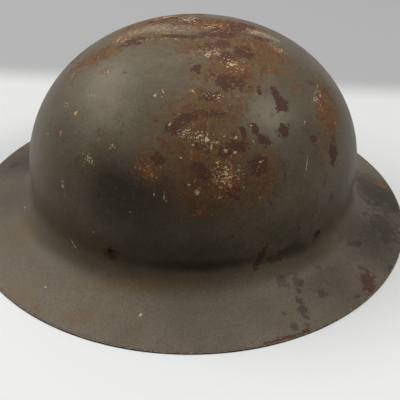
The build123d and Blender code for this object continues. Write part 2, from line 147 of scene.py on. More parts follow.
class Grain(Enum):
    """Kinds of fine relief."""

    SPECKLED = "rolled, cast or brushed metal"
    PEBBLED = "leather"
    FIBROUS = "pressed fibre"


@dataclass(frozen=True)
class Finish:
    """A plain material with mottled colour, freckles of another colour, and a fine relief."""

    name: str
    base: str
    mottle: str
    freckle: str
    mottle_mm: float
    freckle_mm: float
    freckle_share: float
    grain: Grain
    grain_mm: float
    relief_mm: float
    roughness: float
    freckle_roughness: float = 0.85
    metallic: float = 0.0
    stretch: tuple[float, float, float] = (1.0, 1.0, 1.0)
    mottled: Ramp = Ramp(0.35, 0.65)
    pebbled: Ramp = Ramp(0.0, 0.25)
    shaded_hollows: Ramp = Ramp(0.0, 0.6, 0.72, 1.0)
    freckle_rarest: float = 0.72
    freckle_reach: float = 0.36
    freckle_rim: float = 0.03
    freckle_core: float = 0.05

    def relief(self, tree: Tree, point: Socket) -> Socket:
        """Make the fine relief.

        Args:
            tree: Node tree of the material.
            point: Point on the object in millimetres.

        Returns:
            Its height, from 0 to 1.
        """
        if self.grain is Grain.PEBBLED:
            cells = add_node(tree, "ShaderNodeTexVoronoi", {"Vector": point, "Scale": 1 / self.grain_mm},
                             feature="DISTANCE_TO_EDGE")
            return add_node(tree, "ShaderNodeMapRange", {0: cells, **self.pebbled.sockets},
                            interpolation_type="SMOOTHSTEP")
        stretched = add_node(tree, "ShaderNodeVectorMath", {0: point, 1: self.stretch}, operation="MULTIPLY")
        return add_node(tree, "ShaderNodeTexNoise",
                        {"Vector": stretched, "Scale": 1 / self.grain_mm, "Detail": 4.0, "Roughness": 0.6})

    def build(self) -> Material:
        """Make the material.

        Returns:
            The finish, ready to put on a piece.
        """
        material, tree, point = new_material(self.name)
        cloud = add_node(tree, "ShaderNodeTexNoise",
                         {"Vector": point, "Scale": 1 / self.mottle_mm, "Detail": 5.0, "Roughness": 0.6})
        spots = add_node(tree, "ShaderNodeTexNoise",
                         {"Vector": point, "Scale": 1 / self.freckle_mm, "Detail": 6.0, "Roughness": 0.7})
        edge = self.freckle_rarest - self.freckle_reach * self.freckle_share
        freckles = add_node(tree, "ShaderNodeMapRange", {
            0: spots,
            1: edge - self.freckle_rim,
            2: edge + self.freckle_core,
        }, interpolation_type="SMOOTHSTEP")
        height = self.relief(tree, point)
        colour = add_node(tree, "ShaderNodeMix", {
            6: linear(self.base),
            7: linear(self.mottle),
            0: add_node(tree, "ShaderNodeMapRange", {0: cloud, **self.mottled.sockets},
                        interpolation_type="SMOOTHSTEP"),
        }, output=2, data_type="RGBA")
        colour = add_node(tree, "ShaderNodeMix", {6: colour, 7: linear(self.freckle), 0: freckles},
                          output=2, data_type="RGBA")
        shade = add_node(tree, "ShaderNodeMapRange", {0: height, **self.shaded_hollows.sockets},
                         interpolation_type="SMOOTHSTEP")
        colour = add_node(tree, "ShaderNodeMix", {0: 1.0, 6: colour, 7: shade}, output=2,
                          data_type="RGBA", blend_type="MULTIPLY")
        rough = add_node(tree, "ShaderNodeMapRange", {
            0: freckles,
            3: self.roughness,
            4: self.freckle_roughness,
        }, interpolation_type="SMOOTHSTEP")
        metal = 0.0
        if self.metallic > 0:
            metal = add_node(tree, "ShaderNodeMapRange", {0: freckles, 3: self.metallic, 4: 0.0},
                             interpolation_type="SMOOTHSTEP")
        bump = add_node(tree, "ShaderNodeBump",
                        {"Strength": 1.0, "Distance": self.relief_mm * MM, "Height": height})
        shader = add_node(tree, "ShaderNodeBsdfPrincipled",
                          {"Base Color": colour, "Roughness": rough, "Metallic": metal, "Normal": bump})
        add_node(tree, "ShaderNodeOutputMaterial", {"Surface": shader})
        return material


# Spring steel strip, blackened by its heat treatment: a dull metal with a little rust
SPRING_STEEL = Finish("spring_steel", "#5c5853", "#3f3c39", "#5a3620", 9.0, 2.2, 0.45, Grain.SPECKLED,
                      0.35, 0.02, 0.42, metallic=0.9)
# Nickel plate gone dull on small steel rivets
PLATED_STEEL = Finish("plated_steel", "#a39b8a", "#7c7466", "#5b3c26", 4.0, 1.2, 0.42, Grain.SPECKLED,
                      0.3, 0.015, 0.38, metallic=0.95)
# Rolled brass, long tarnished: brown film in the hollows, a little green in the freckles
STRAP_BRASS = Finish("strap_brass", "#a68a52", "#74592f", "#4b4a33", 5.0, 1.4, 0.5, Grain.SPECKLED,
                     0.3, 0.015, 0.36, metallic=0.95)
# Bare steel of the hollow rivets, rusted through: matte, dark red-brown
RUSTED_STEEL = Finish("rusted_steel", "#3a2419", "#22150f", "#5f371d", 2.4, 0.8, 0.5, Grain.SPECKLED,
                      0.4, 0.08, 0.85)
# Vulcanised fibre: paper pressed to a hard dark red board, with a faint run of fibres
VULCANISED_FIBRE = Finish("vulcanised_fibre", "#5b3228", "#42231c", "#2c1a14", 14.0, 1.6, 0.35, Grain.FIBROUS,
                          0.9, 0.03, 0.55, freckle_roughness=0.7, stretch=(1.0, 1.0, 6.0))
# Vegetable tanned sheepskin of the liner: tan, darkened by wear, with a fine pebble
LINER_LEATHER = Finish("liner_leather", "#80593a", "#63402a", "#472d1c", 22.0, 5.0, 0.3, Grain.PEBBLED,
                       1.1, 0.10, 0.58, freckle_roughness=0.7)
# Harness leather of the strap: dark brown, close grain, rubbed smoother
STRAP_LEATHER = Finish("strap_leather", "#57351f", "#3d2415", "#22140c", 16.0, 2.0, 0.36, Grain.PEBBLED,
                       0.8, 0.06, 0.46, freckle_roughness=0.62)
# Waxed linen thread
LINEN_THREAD = Finish("linen_thread", "#a8946e", "#83704f", "#4d3f2b", 3.0, 0.8, 0.4, Grain.FIBROUS,
                      0.25, 0.05, 0.8)
# Moulded black rubber, greyed and chalky with age
AGED_RUBBER = Finish("aged_rubber", "#33302d", "#26241f", "#4b4640", 6.0, 1.5, 0.4, Grain.SPECKLED,
                     0.6, 0.03, 0.78, freckle_roughness=0.9)


@dataclass(frozen=True)
class PhotoView:
    """The photograph's camera, and the rays through its pixels."""

    frame_px: float = 400.0
    focal_px: float = 866.0
    sensor_mm: float = 36.0
    distance: float = 0.5941
    aim_height: float = 0.0641
    turn_deg: float = -10.73
    rise_deg: float = 32.13
    pan_deg: float = 0.70
    tilt_deg: float = -4.48
    roll_deg: float = 1.95

    def axes(self) -> tuple[Vector, Vector, Vector, Vector]:
        """Work out how the camera stands.

        Returns:
            Its place, and its right, up and forward directions.
        """
        angles = (self.turn_deg, self.rise_deg, self.pan_deg, self.tilt_deg, self.roll_deg)
        turn, rise, pan, tilt, roll = (math.radians(angle) for angle in angles)
        back = Vector((math.sin(turn) * math.cos(rise), -math.cos(turn) * math.cos(rise), math.sin(rise)))
        place = Vector((0, 0, self.aim_height)) + back * self.distance
        level_right = (-back).cross(UP).normalized()
        level_up = level_right.cross(-back)
        panned = -back * math.cos(pan) + level_right * math.sin(pan)
        right = panned.cross(level_up).normalized()
        forward = panned * math.cos(tilt) + level_up * math.sin(tilt)
        up = right.cross(forward)
        return (place, right * math.cos(roll) + up * math.sin(roll),
                up * math.cos(roll) - right * math.sin(roll), forward)

    def ray(self, x_px: float, y_px: float) -> tuple[Vector, Vector]:
        """Find the ray through a pixel of the photograph.

        Args:
            x_px: Pixels from the frame's left side.
            y_px: Pixels from the frame's top.

        Returns:
            Start and direction of the ray.
        """
        place, right, up, forward = self.axes()
        across = (x_px - self.frame_px / 2) / self.focal_px
        down = (y_px - self.frame_px / 2) / self.focal_px
        return place, (forward + right * across - up * down).normalized()

    def build(self) -> None:
        """Make the camera and set it as the scene's."""
        place, right, up, forward = self.axes()
        data = bpy.data.cameras.new("photo_camera")
        data.sensor_width = self.sensor_mm
        data.lens = self.sensor_mm * self.focal_px / self.frame_px
        camera = bpy.data.objects.new("photo_camera", data)
        bpy.context.scene.collection.objects.link(camera)
        camera.matrix_world = Matrix((
            (right.x, up.x, -forward.x, place.x),
            (right.y, up.y, -forward.y, place.y),
            (right.z, up.z, -forward.z, place.z),
            (0, 0, 0, 1),
        ))
        bpy.context.scene.camera = camera


class Stain(Enum):
    """Kinds of mark on the paint, each a field on the shell's outer face."""

    WEAR = "wear"
    MAROON = "maroon"
    ORANGE = "orange"
    CREAM = "cream"
    DARK = "dark"
    TAN = "tan"
    SOOT_AND_SHADE = "soot_and_shade"
    RUBBED = "rubbed"


@dataclass(frozen=True)
class Mark:
    """One mark of the paint, placed by the pixel of the photograph that shows its middle."""

    x_px: float
    y_px: float
    half_width_mm: float
    half_height_mm: float
    turn_deg: float = 0.0
    depth_mm: float = 12.0
    most: float = 1.0


@dataclass(frozen=True)
class Flake:
    """One small pale flake or scratch, placed as a mark is."""

    x_px: float
    y_px: float
    half_width_mm: float
    half_height_mm: float
    turn_deg: float = 0.0
    narrowest_round: float = 0.6
    widest_round: float = 1.6

    @property
    def is_round(self) -> bool:
        """Whether the flake is about as wide as it is high."""
        return self.narrowest_round < self.half_width_mm / self.half_height_mm < self.widest_round


@dataclass(frozen=True)
class Spot:
    """Place of a mark on the shell, with the directions of its width and height."""

    place: Vector
    across: Vector
    upward: Vector
    normal: Vector

    def field(self, points: np.ndarray, mark: Mark) -> np.ndarray:
        """Work out how far inside a mark some points are.

        Args:
            points: Places in metres, one in each row.
            mark: The mark that lies here.

        Returns:
            The mark's most at its middle, and less further out, for each point.
        """
        away = points - np.array(self.place)
        shares = [
            away @ np.array(self.across) / (mark.half_width_mm * MM),
            away @ np.array(self.upward) / (mark.half_height_mm * MM),
            away @ np.array(self.normal) / (mark.depth_mm * MM),
        ]
        return mark.most - np.sqrt(sum(share**2 for share in shares))


MARKS: dict[Stain, tuple[Mark, ...]] = {
    # Rubbed and rusted zones: the crown, the run down the near side and the far end of the brim
    Stain.WEAR: (
        Mark(226, 27, 44, 20, depth_mm=30),
        Mark(154, 23, 30, 4, depth_mm=16),
        Mark(172, 38, 28, 4, depth_mm=16),
        Mark(250, 48, 40, 30, turn_deg=-20, depth_mm=25),
        Mark(205, 47, 30, 18, depth_mm=20),
        Mark(230, 74, 30, 22, depth_mm=25),
        Mark(206, 112, 34, 24, turn_deg=14, depth_mm=20),
        Mark(205, 150, 44, 26, depth_mm=20),
        Mark(215, 185, 38, 24, depth_mm=16),
        Mark(262, 175, 16, 24, depth_mm=16),
        Mark(328, 112, 16, 40, depth_mm=16),
        Mark(100, 54, 30, 14, turn_deg=10, depth_mm=16),
        Mark(150, 168, 14, 14, depth_mm=12),
        Mark(381, 184, 9, 7, depth_mm=16),
    ),
    # Dark red-brown patches where the paint is off
    Stain.MAROON: (
        Mark(281.5, 104.5, 5.2, 5.2),
        Mark(275.5, 94, 2.8, 5.6, turn_deg=20),
        Mark(284, 131.6, 4.4, 4.2),
        Mark(255.5, 129, 2, 4.2, turn_deg=20),
        Mark(264.5, 140, 5.2, 3.4, turn_deg=-20),
        Mark(243, 130.7, 2, 3.2),
        Mark(259, 91.4, 1.8, 3.8, turn_deg=20),
        Mark(229.6, 82.5, 10, 6),
        Mark(211.8, 97, 6.5, 3.6),
        Mark(188, 118, 11, 3.4, turn_deg=26),
        Mark(175, 128, 6.4, 4.4, turn_deg=20),
        Mark(210, 114.6, 9, 2.6),
        Mark(196.6, 69, 3.6, 3.4),
        Mark(183, 36.5, 15, 3.2),
        Mark(222, 34, 10.5, 6.5),
        Mark(222.5, 44, 4.6, 6),
        Mark(208, 48, 7, 6),
        Mark(228, 58, 5, 6),
        Mark(244, 52, 7, 7),
        Mark(262, 37, 8, 6),
        Mark(232, 27, 18, 9),
        Mark(205, 24, 12, 6),
        Mark(197, 167.6, 5.4, 3.6),
        Mark(206, 174, 4.4, 4.8),
        Mark(201, 145, 5.4, 3),
        Mark(226, 153, 5.2, 3.4),
        Mark(236, 146, 7.2, 3.6),
        Mark(258, 167, 7.4, 6),
        Mark(234, 193, 5, 4.6),
        Mark(158, 160, 4.2, 3.8, turn_deg=-30),
        Mark(313.6, 139.6, 2.8, 3.4),
        Mark(333, 152, 5, 9),
        Mark(369, 282.5, 5, 11, turn_deg=-8),
        Mark(260.5, 257, 2.8, 10, turn_deg=-28),
        Mark(286, 340, 8.5, 3, turn_deg=18),
        Mark(306, 332.5, 4.5, 2.6, turn_deg=20),
        Mark(269, 343.5, 3, 1.8, turn_deg=10),
    ),
    # Bright rust
    Stain.ORANGE: (
        Mark(106.5, 70.5, 6.5, 4),
        Mark(111, 145, 4.4, 4.4),
        Mark(61, 132, 3.4, 3.4),
        Mark(98, 138, 3, 3),
        Mark(70, 86, 5, 2.6),
        Mark(193, 93, 3.4, 4),
        Mark(238.6, 100.4, 7, 3),
        Mark(218.4, 129.4, 8, 2),
        Mark(150, 171.7, 7, 8),
        Mark(143.4, 149, 4.4, 4.4),
        Mark(200.5, 213, 6.6, 4.6),
        Mark(238.4, 219.8, 2.6, 1.8),
        Mark(228, 176, 13, 18),
        Mark(196, 155, 9, 5),
        Mark(336, 124, 3, 14, turn_deg=12),
        Mark(321, 108, 8, 9, turn_deg=12),
        Mark(296, 89, 5.4, 4.6),
        Mark(274, 48, 11, 8, turn_deg=-30),
        Mark(255, 31, 10, 6),
        Mark(212, 24, 24, 7),
        Mark(236, 66, 14, 9),
        Mark(270, 72, 5, 5),
        Mark(150, 24, 16, 3),
        Mark(66, 104, 4.2, 4.2),
        Mark(76, 114, 3.6, 3.4),
        Mark(46.5, 134, 3.8, 3.8),
        Mark(358, 183, 5, 4),
        Mark(383, 186, 4.6, 3.2, turn_deg=-40),
        Mark(351, 309, 2.8, 2),
        Mark(93.7, 308.6, 1.2, 1),
        Mark(104, 249.5, 4, 3.6),
    ),
    # Pale primer and filler that show as flecks in the worn spots
    Stain.CREAM: (
        Mark(207, 139, 17, 8),
        Mark(189, 134, 11, 8),
        Mark(147, 39.8, 18, 2.6, turn_deg=3),
        Mark(181, 39.2, 20, 2.4),
        Mark(170, 33, 14, 2.4, turn_deg=8),
        Mark(226, 176, 15, 17),
        Mark(197, 191.5, 4, 3),
        Mark(214, 96, 9, 5),
        Mark(208, 52, 20, 12),
        Mark(234, 64, 16, 9),
        Mark(274, 46, 12, 7, turn_deg=-30),
        Mark(192.5, 91, 3.6, 2.6),
        Mark(318, 96, 8, 12),
        Mark(235, 138, 4, 3),
        Mark(262, 34, 18, 7),
        Mark(206, 27, 26, 7),
        Mark(106.5, 71, 6, 4),
        Mark(66, 104, 4.6, 4.6),
        Mark(76, 114, 3.6, 3.6),
        Mark(46.5, 134, 4.4, 4.4),
        Mark(60, 133, 3.8, 3.8),
        Mark(112, 146, 4, 4),
        Mark(89, 94.5, 10, 2.2, turn_deg=-24),
        Mark(88, 158, 8, 8),
        Mark(141, 169, 9, 2.6),
        Mark(74, 74, 9, 2.4, turn_deg=36),
        Mark(63, 186, 2.6, 9, turn_deg=14),
    ),
    # Rubbed pale
    Stain.RUBBED: (
        Mark(158, 28, 30, 9, depth_mm=16),
        Mark(264, 35, 14, 6, depth_mm=16),
    ),
    # Dark stains
    Stain.DARK: (
        Mark(111, 254, 6.4, 5.8),
        Mark(316.8, 235, 5, 6.4),
        Mark(102.5, 106.7, 1.8, 1.2),
        Mark(124, 73, 1.8, 1.4),
        Mark(283, 281, 6.5, 5.5),
        Mark(297, 280, 5.5, 5.5),
        Mark(302, 309, 5, 5),
        Mark(299, 301, 3.4, 3.4),
        Mark(300, 291, 2.6, 2.2),
        Mark(306, 317, 2.8, 2.2),
        Mark(308, 326, 2.6, 2.2),
        Mark(295, 327, 4, 3.4),
        Mark(284, 313, 2.6, 2),
        Mark(322, 293, 4, 4),
        Mark(318, 268, 2.8, 2.2),
        Mark(358, 296, 2.6, 2.2),
        Mark(386, 241, 4.4, 7),
        Mark(391, 268, 4, 5),
        Mark(299, 228, 1.8, 2.4),
        Mark(363, 268, 5, 3),
        Mark(354, 243.7, 7, 3, turn_deg=12),
        Mark(331, 198, 3, 4),
        Mark(338, 201.5, 1.4, 3.6, turn_deg=-20),
        Mark(374, 190, 36, 30, depth_mm=20),
        Mark(384, 226, 16, 16, depth_mm=20),
        Mark(285, 252, 20, 5, turn_deg=10),
        Mark(231.7, 237, 2, 0.9),
        Mark(98.4, 130.7, 0.9, 2.8, turn_deg=-40),
        Mark(311.8, 83.4, 4, 2.2),
        Mark(271.6, 115.5, 2.4, 1.4),
        Mark(261, 257.5, 1.8, 8, turn_deg=-28),
        Mark(285.3, 176, 1, 4),
    ),
    # Soft dark zones: soot and oil stains, with painted shade in the flare's crease, on the lower wall,
    # across the brim and on the dome's sides
    Stain.SOOT_AND_SHADE: (
        Mark(128, 190, 54, 34, depth_mm=30),
        Mark(395, 205, 40, 40, depth_mm=20),
        Mark(205, 266, 66, 8, depth_mm=30),
        Mark(300, 250, 22, 7, depth_mm=20),
        Mark(374, 240, 50, 44, depth_mm=20),
        Mark(338, 285, 110, 80, turn_deg=-30, depth_mm=200, most=0.6),
        Mark(10, 197, 110, 110, depth_mm=200, most=0.5),
        Mark(205, 322, 200, 140, depth_mm=300, most=0.36),
        Mark(66, 132, 100, 100, depth_mm=300, most=0.3),
        Mark(305, 145, 100, 100, depth_mm=300, most=0.36),
        Mark(208, 200, 80, 54, depth_mm=200, most=0.5),
    ),
    # Brown tint of old rust and dirt
    Stain.TAN: (
        Mark(25, 230, 16, 16),
        Mark(12, 298, 14, 8),
        Mark(36, 307, 4, 12),
        Mark(80, 316, 14, 7),
        Mark(147, 284, 45, 7),
        Mark(104, 251, 7, 6),
        Mark(105, 50, 24, 6, turn_deg=20),
        Mark(268, 250, 7, 5),
    ),
}

FLAKES: tuple[Flake, ...] = (
    Flake(154, 194.4, 0.35, 1.7, turn_deg=4),
    Flake(164, 196.5, 0.35, 2.2, turn_deg=-6),
    Flake(166, 201, 0.35, 1, turn_deg=35),
    Flake(163, 91.5, 0.5, 1.7, turn_deg=20),
    Flake(155.5, 95.5, 1, 0.7),
    Flake(162, 97, 0.5, 0.6),
    Flake(207, 140, 1.9, 0.9, turn_deg=20),
    Flake(211.5, 146.5, 0.6, 1.7, turn_deg=-15),
    Flake(200.4, 135.3, 0.8, 0.7),
    Flake(226, 150.6, 1.2, 0.8, turn_deg=-20),
    Flake(235, 152.6, 0.9, 0.7),
    Flake(181, 157.8, 0.6, 0.6),
    Flake(261, 161.8, 1.6, 0.8, turn_deg=15),
    Flake(251, 125.6, 0.6, 0.8),
    Flake(254, 142, 0.35, 1.8, turn_deg=32),
    Flake(197.3, 193, 1.2, 0.8, turn_deg=30),
    Flake(189, 184.8, 0.7, 0.6),
    Flake(221.3, 181.2, 0.9, 0.5),
    Flake(219.8, 197.5, 1.2, 0.5, turn_deg=30),
    Flake(224.4, 178.7, 0.5, 0.5),
    Flake(169.8, 124, 1.2, 0.6, turn_deg=35),
    Flake(236, 137.3, 0.9, 1.1),
    Flake(259.6, 197.5, 0.6, 0.7),
    Flake(317.5, 86, 0.35, 2.4, turn_deg=-16),
    Flake(320, 96, 0.5, 1.4, turn_deg=14),
    Flake(306.7, 165, 0.3, 5, turn_deg=-8),
    Flake(304.7, 122, 0.35, 1.5),
    Flake(24.8, 207.6, 0.8, 0.6),
    Flake(93.7, 232, 0.7, 0.6),
    Flake(130.5, 212, 0.6, 0.5),
    Flake(45.5, 287, 0.7, 0.5),
    Flake(140.6, 315, 1.1, 0.8),
    Flake(73, 243, 0.3, 5, turn_deg=40),
)


class Specks(NamedTuple):
    """Sharp specks: size, the noise that one needs, how much less a field makes it need, and its place."""

    size_mm: float
    needed: float
    growth: float
    apart: int


@dataclass(frozen=True)
class Patterns:
    """Noises in the node tree of one paint."""

    tree: Tree
    point: Socket
    apart_mm: float = 90.0
    speck_detail: float = 4.0
    speck_roughness: float = 0.72
    speck_twist: float = 0.9
    speck_edge: Ramp = Ramp(0.0, 0.03)

    def noise(self, size_mm: float, detail: float = 6.0, roughness: float = 0.62, apart: int = 0,
              twist: float = 0.0) -> Socket:
        """Make a noise with features of a real size.

        Args:
            size_mm: Size of its largest features.
            detail: How many finer layers it has.
            roughness: How strong the finer layers are.
            apart: Number of the place it is taken from, so that no two match.
            twist: How far it is distorted.

        Returns:
            The noise, from 0 to 1.
        """
        moved = add_node(self.tree, "ShaderNodeVectorMath", {0: self.point, 1: (apart * self.apart_mm,) * 3})
        return add_node(self.tree, "ShaderNodeTexNoise",
                        {"Vector": moved, "Scale": 1 / size_mm, "Detail": detail, "Roughness": roughness,
                         "Distortion": twist})

    def specks(self, kind: Specks, field: Socket) -> Socket:
        """Make sharp specks that get denser as a field grows.

        Args:
            kind: The specks' size, density and place.
            field: The field that they follow.

        Returns:
            1 inside a speck and 0 outside.
        """
        needed = add_node(self.tree, "ShaderNodeMath", {0: field, 1: -kind.growth, 2: kind.needed},
                          operation="MULTIPLY_ADD")
        noise = self.noise(kind.size_mm, self.speck_detail, self.speck_roughness, kind.apart,
                           self.speck_twist)
        return add_node(self.tree, "ShaderNodeMapRange", {
            0: add_node(self.tree, "ShaderNodeMath", {0: noise, 1: needed}, operation="SUBTRACT"),
            **self.speck_edge.sockets,
        }, interpolation_type="SMOOTHSTEP")


@dataclass(frozen=True)
class WornPaint:
    """Drab oil paint on pressed steel: dull olive brown, worn through on the crown and the near side."""

    middle_mm: float
    spots: tuple[tuple[Flake, Spot], ...]
    name: str = "worn_drab_paint"
    # The paint itself: cloudy olive and grey-brown, with dust on the brim, dark stains, and soot zones that
    # also carry painted shade
    paint: str = "#5b5241"
    paint_grey: str = "#665c4b"
    paint_green: str = "#4e4938"
    dusty: str = "#6d6257"
    tan: str = "#67553a"
    dark: str = "#2f2b26"
    cloud_mm: float = 38.0
    mottle_mm: float = 7.0
    ragged_mm: float = 4.0
    ragged_reach: float = 2.6
    fine_mm: float = 2.1
    fine_reach: float = 1.6
    dust_mm: float = 0.8
    grey_clouds: Ramp = Ramp(0.42, 0.62)
    green_mottle: Ramp = Ramp(0.5, 0.72, 0.0, 0.6)
    dust_fall_mm: Ramp = Ramp(7.0, 24.0, 1.0, 0.0)
    dust_clouds: Ramp = Ramp(0.35, 0.62, 0.6, 1.0)
    dust_strength: float = 0.6
    tan_ragged: float = 0.45
    tan_wash: Ramp = Ramp(-0.25, 0.9, 0.0, 0.66)
    dark_stain: Ramp = Ramp(-0.05, 0.6, 0.0, 0.72)
    # Soot zones, which also paint shade into the flare, the lower wall, the brim and the dome's sides
    soot_and_shade_ragged: float = 0.5
    soot_and_shade_wash: Ramp = Ramp(0.0, 1.0, 0.0, 0.8)
    soot_and_shade_specks: Specks = Specks(2.1, 0.68, 0.07, 11)
    # Rust: a thin brown film, dark red-brown where the paint is off, and bright flecks
    film: str = "#664e2d"
    film_red: str = "#643d28"
    maroon: str = "#5d3d32"
    maroon_dark: str = "#3a2722"
    orange: str = "#744429"
    orange_bright: str = "#bf8b53"
    film_mask: Ramp = Ramp(0.05, 0.6, 0.0, 0.9)
    film_red_mm: float = 6.0
    film_red_mask: Ramp = Ramp(0.47, 0.58)
    maroon_mask: Ramp = Ramp(0.02, 0.16)
    maroon_grit: Ramp = Ramp(0.4, 0.62)
    maroon_strength: float = 0.92
    maroon_chips: Specks = Specks(2.8, 0.66, 0.1, 3)
    orange_wash: Ramp = Ramp(0.2, 0.8, 0.0, 0.6)
    orange_grit: Ramp = Ramp(0.36, 0.56)
    orange_strength: float = 0.8
    orange_specks: Specks = Specks(2.1, 0.69, 0.18, 4)
    orange_wear_specks: Specks = Specks(2.1, 0.67, 0.09, 6)
    # Pale primer that shows as flecks, torn flakes, and paint rubbed pale
    cream: str = "#e2cda1"
    rubbed: str = "#a3967d"
    cream_strength: float = 0.85
    cream_specks: Specks = Specks(1.7, 0.68, 0.175, 7)
    cream_wear_specks: Specks = Specks(1.7, 0.71, 0.05, 8)
    torn_reach: float = 5.0
    flake_mask: Ramp = Ramp(0.1, 0.5)
    flake_depth_mm: float = 6.0
    scuff_strength: float = 0.75
    scuff_specks: Specks = Specks(1.7, 0.6, 0.12, 10)
    rubbed_wash: Ramp = Ramp(-0.2, 1.0, 0.0, 0.44)
    # Grit, gloss and relief
    grit_fine: float = 0.3
    grit_shade: Ramp = Ramp(0.26, 0.74, 0.8, 1.18)
    film_roughening: float = 0.7
    dust_roughening: float = 0.5
    paint_roughness: float = 0.38
    rust_roughness: float = 0.8
    specular: float = 0.3
    sheen_tint: str = "#fff0d8"
    grit_height: float = 0.3
    cream_height: float = 0.8
    paint_thickness_mm: float = 0.12

    def flakes(self, made: Patterns) -> Socket:
        """Work out the flakes' field, on the near side and turned half round on the far side.

        Args:
            made: Patterns of the paint.

        Returns:
            The greatest of the flakes' fields: 1 at a flake's middle, 0 at its edge, and less beyond.
        """
        tree = made.tree
        parts = add_node(tree, "ShaderNodeSeparateXYZ", {0: made.point}).node
        half_turn = add_node(tree, "ShaderNodeMath", {
            0: add_node(tree, "ShaderNodeMath", {0: parts.outputs["Y"]}, operation="SIGN"),
            1: -1.0,
        }, operation="MULTIPLY")
        along = add_node(tree, "ShaderNodeMath", {
            0: add_node(tree, "ShaderNodeMath", {0: parts.outputs["X"], 1: self.middle_mm},
                        operation="SUBTRACT"),
            1: half_turn,
        }, operation="MULTIPLY")
        folded = add_node(tree, "ShaderNodeCombineXYZ", {
            "X": add_node(tree, "ShaderNodeMath", {0: along, 1: self.middle_mm}, operation="ADD"),
            "Y": add_node(tree, "ShaderNodeMath", {0: parts.outputs["Y"], 1: half_turn},
                          operation="MULTIPLY"),
            "Z": parts.outputs["Z"],
        })
        most = None
        for flake, spot in self.spots:
            if flake.is_round:
                away = add_node(tree, "ShaderNodeVectorMath", {0: folded, 1: spot.place / MM}, output="Value",
                                operation="DISTANCE")
                near = add_node(tree, "ShaderNodeMath", {0: away, 1: -1 / flake.half_width_mm, 2: 1.0},
                                operation="MULTIPLY_ADD")
            else:
                frame_axes = Matrix((spot.across, spot.upward, spot.normal)).transposed()
                local = add_node(tree, "ShaderNodeMapping", {
                    "Vector": folded,
                    "Location": spot.place / MM,
                    "Rotation": frame_axes.to_euler(),
                    "Scale": (flake.half_width_mm, flake.half_height_mm, self.flake_depth_mm),
                }, vector_type="TEXTURE")
                away = add_node(tree, "ShaderNodeVectorMath", {0: local}, output="Value", operation="LENGTH")
                near = add_node(tree, "ShaderNodeMath", {0: 1.0, 1: away}, operation="SUBTRACT")
            if most is None:
                most = near
            else:
                most = add_node(tree, "ShaderNodeMath", {0: most, 1: near}, operation="MAXIMUM")
        return most

    def lay_paint(self, made: Patterns, cloud: Socket, mottle: Socket,
                  broken: Socket) -> tuple[Socket, Socket]:
        """Lay the paint, its dust, its brown tint, its stains, and its soot zones with their painted shade.

        Args:
            made: Patterns of the paint.
            cloud: Broad noise.
            mottle: Noise of a few millimetres.
            broken: Noise that makes a field's edge ragged.

        Returns:
            The colour, and the mask of the dust.
        """
        tree = made.tree
        colour = add_node(tree, "ShaderNodeMix", {
            6: linear(self.paint),
            7: linear(self.paint_grey),
            0: add_node(tree, "ShaderNodeMapRange", {0: cloud, **self.grey_clouds.sockets},
                        interpolation_type="SMOOTHSTEP"),
        }, output=2, data_type="RGBA")
        colour = add_node(tree, "ShaderNodeMix", {
            6: colour,
            7: linear(self.paint_green),
            0: add_node(tree, "ShaderNodeMapRange", {0: mottle, **self.green_mottle.sockets},
                        interpolation_type="SMOOTHSTEP"),
        }, output=2, data_type="RGBA")

        low = add_node(tree, "ShaderNodeSeparateXYZ", {0: made.point}, output="Z")
        dusty = add_node(tree, "ShaderNodeMath", {
            0: add_node(tree, "ShaderNodeMapRange", {0: low, **self.dust_fall_mm.sockets},
                        interpolation_type="SMOOTHSTEP"),
            1: add_node(tree, "ShaderNodeMapRange", {0: cloud, **self.dust_clouds.sockets},
                        interpolation_type="SMOOTHSTEP"),
        }, operation="MULTIPLY")
        colour = add_node(tree, "ShaderNodeMix", {
            6: colour,
            7: linear(self.dusty),
            0: add_node(tree, "ShaderNodeMath", {0: dusty, 1: self.dust_strength}, operation="MULTIPLY"),
        }, output=2, data_type="RGBA")

        tan = add_node(tree, "ShaderNodeMath", {
            0: broken,
            1: self.tan_ragged,
            2: add_node(tree, "ShaderNodeAttribute", output="Fac", attribute_name=Stain.TAN.value),
        }, operation="MULTIPLY_ADD")
        colour = add_node(tree, "ShaderNodeMix", {
            6: colour,
            7: linear(self.tan),
            0: add_node(tree, "ShaderNodeMapRange", {0: tan, **self.tan_wash.sockets},
                        interpolation_type="SMOOTHSTEP"),
        }, output=2, data_type="RGBA")

        dark = add_node(tree, "ShaderNodeMath", {
            0: add_node(tree, "ShaderNodeAttribute", output="Fac", attribute_name=Stain.DARK.value),
            1: broken,
        }, operation="ADD")
        colour = add_node(tree, "ShaderNodeMix", {
            6: colour,
            7: linear(self.dark),
            0: add_node(tree, "ShaderNodeMapRange", {0: dark, **self.dark_stain.sockets},
                        interpolation_type="SMOOTHSTEP"),
        }, output=2, data_type="RGBA")

        # Soot and painted shade: dark zones that stand in for soot and for shade in the flare, on the lower
        # wall, the brim and the dome's sides
        soot_and_shade_field = add_node(tree, "ShaderNodeAttribute", output="Fac", attribute_name=Stain.SOOT_AND_SHADE.value)
        ragged = add_node(tree, "ShaderNodeMath", {0: broken, 1: soot_and_shade_field}, operation="MULTIPLY")
        ragged = add_node(tree, "ShaderNodeMath", {0: ragged, 1: self.soot_and_shade_ragged, 2: soot_and_shade_field},
                          operation="MULTIPLY_ADD")
        soot_and_shade = add_node(tree, "ShaderNodeMapRange", {0: ragged, **self.soot_and_shade_wash.sockets},
                        interpolation_type="SMOOTHSTEP")
        soot_and_shade = add_node(tree, "ShaderNodeMath", {0: soot_and_shade, 1: made.specks(self.soot_and_shade_specks, soot_and_shade_field)},
                        operation="MAXIMUM")
        colour = add_node(tree, "ShaderNodeMix", {6: colour, 7: linear(self.dark), 0: soot_and_shade},
                          output=2, data_type="RGBA")
        return colour, dusty

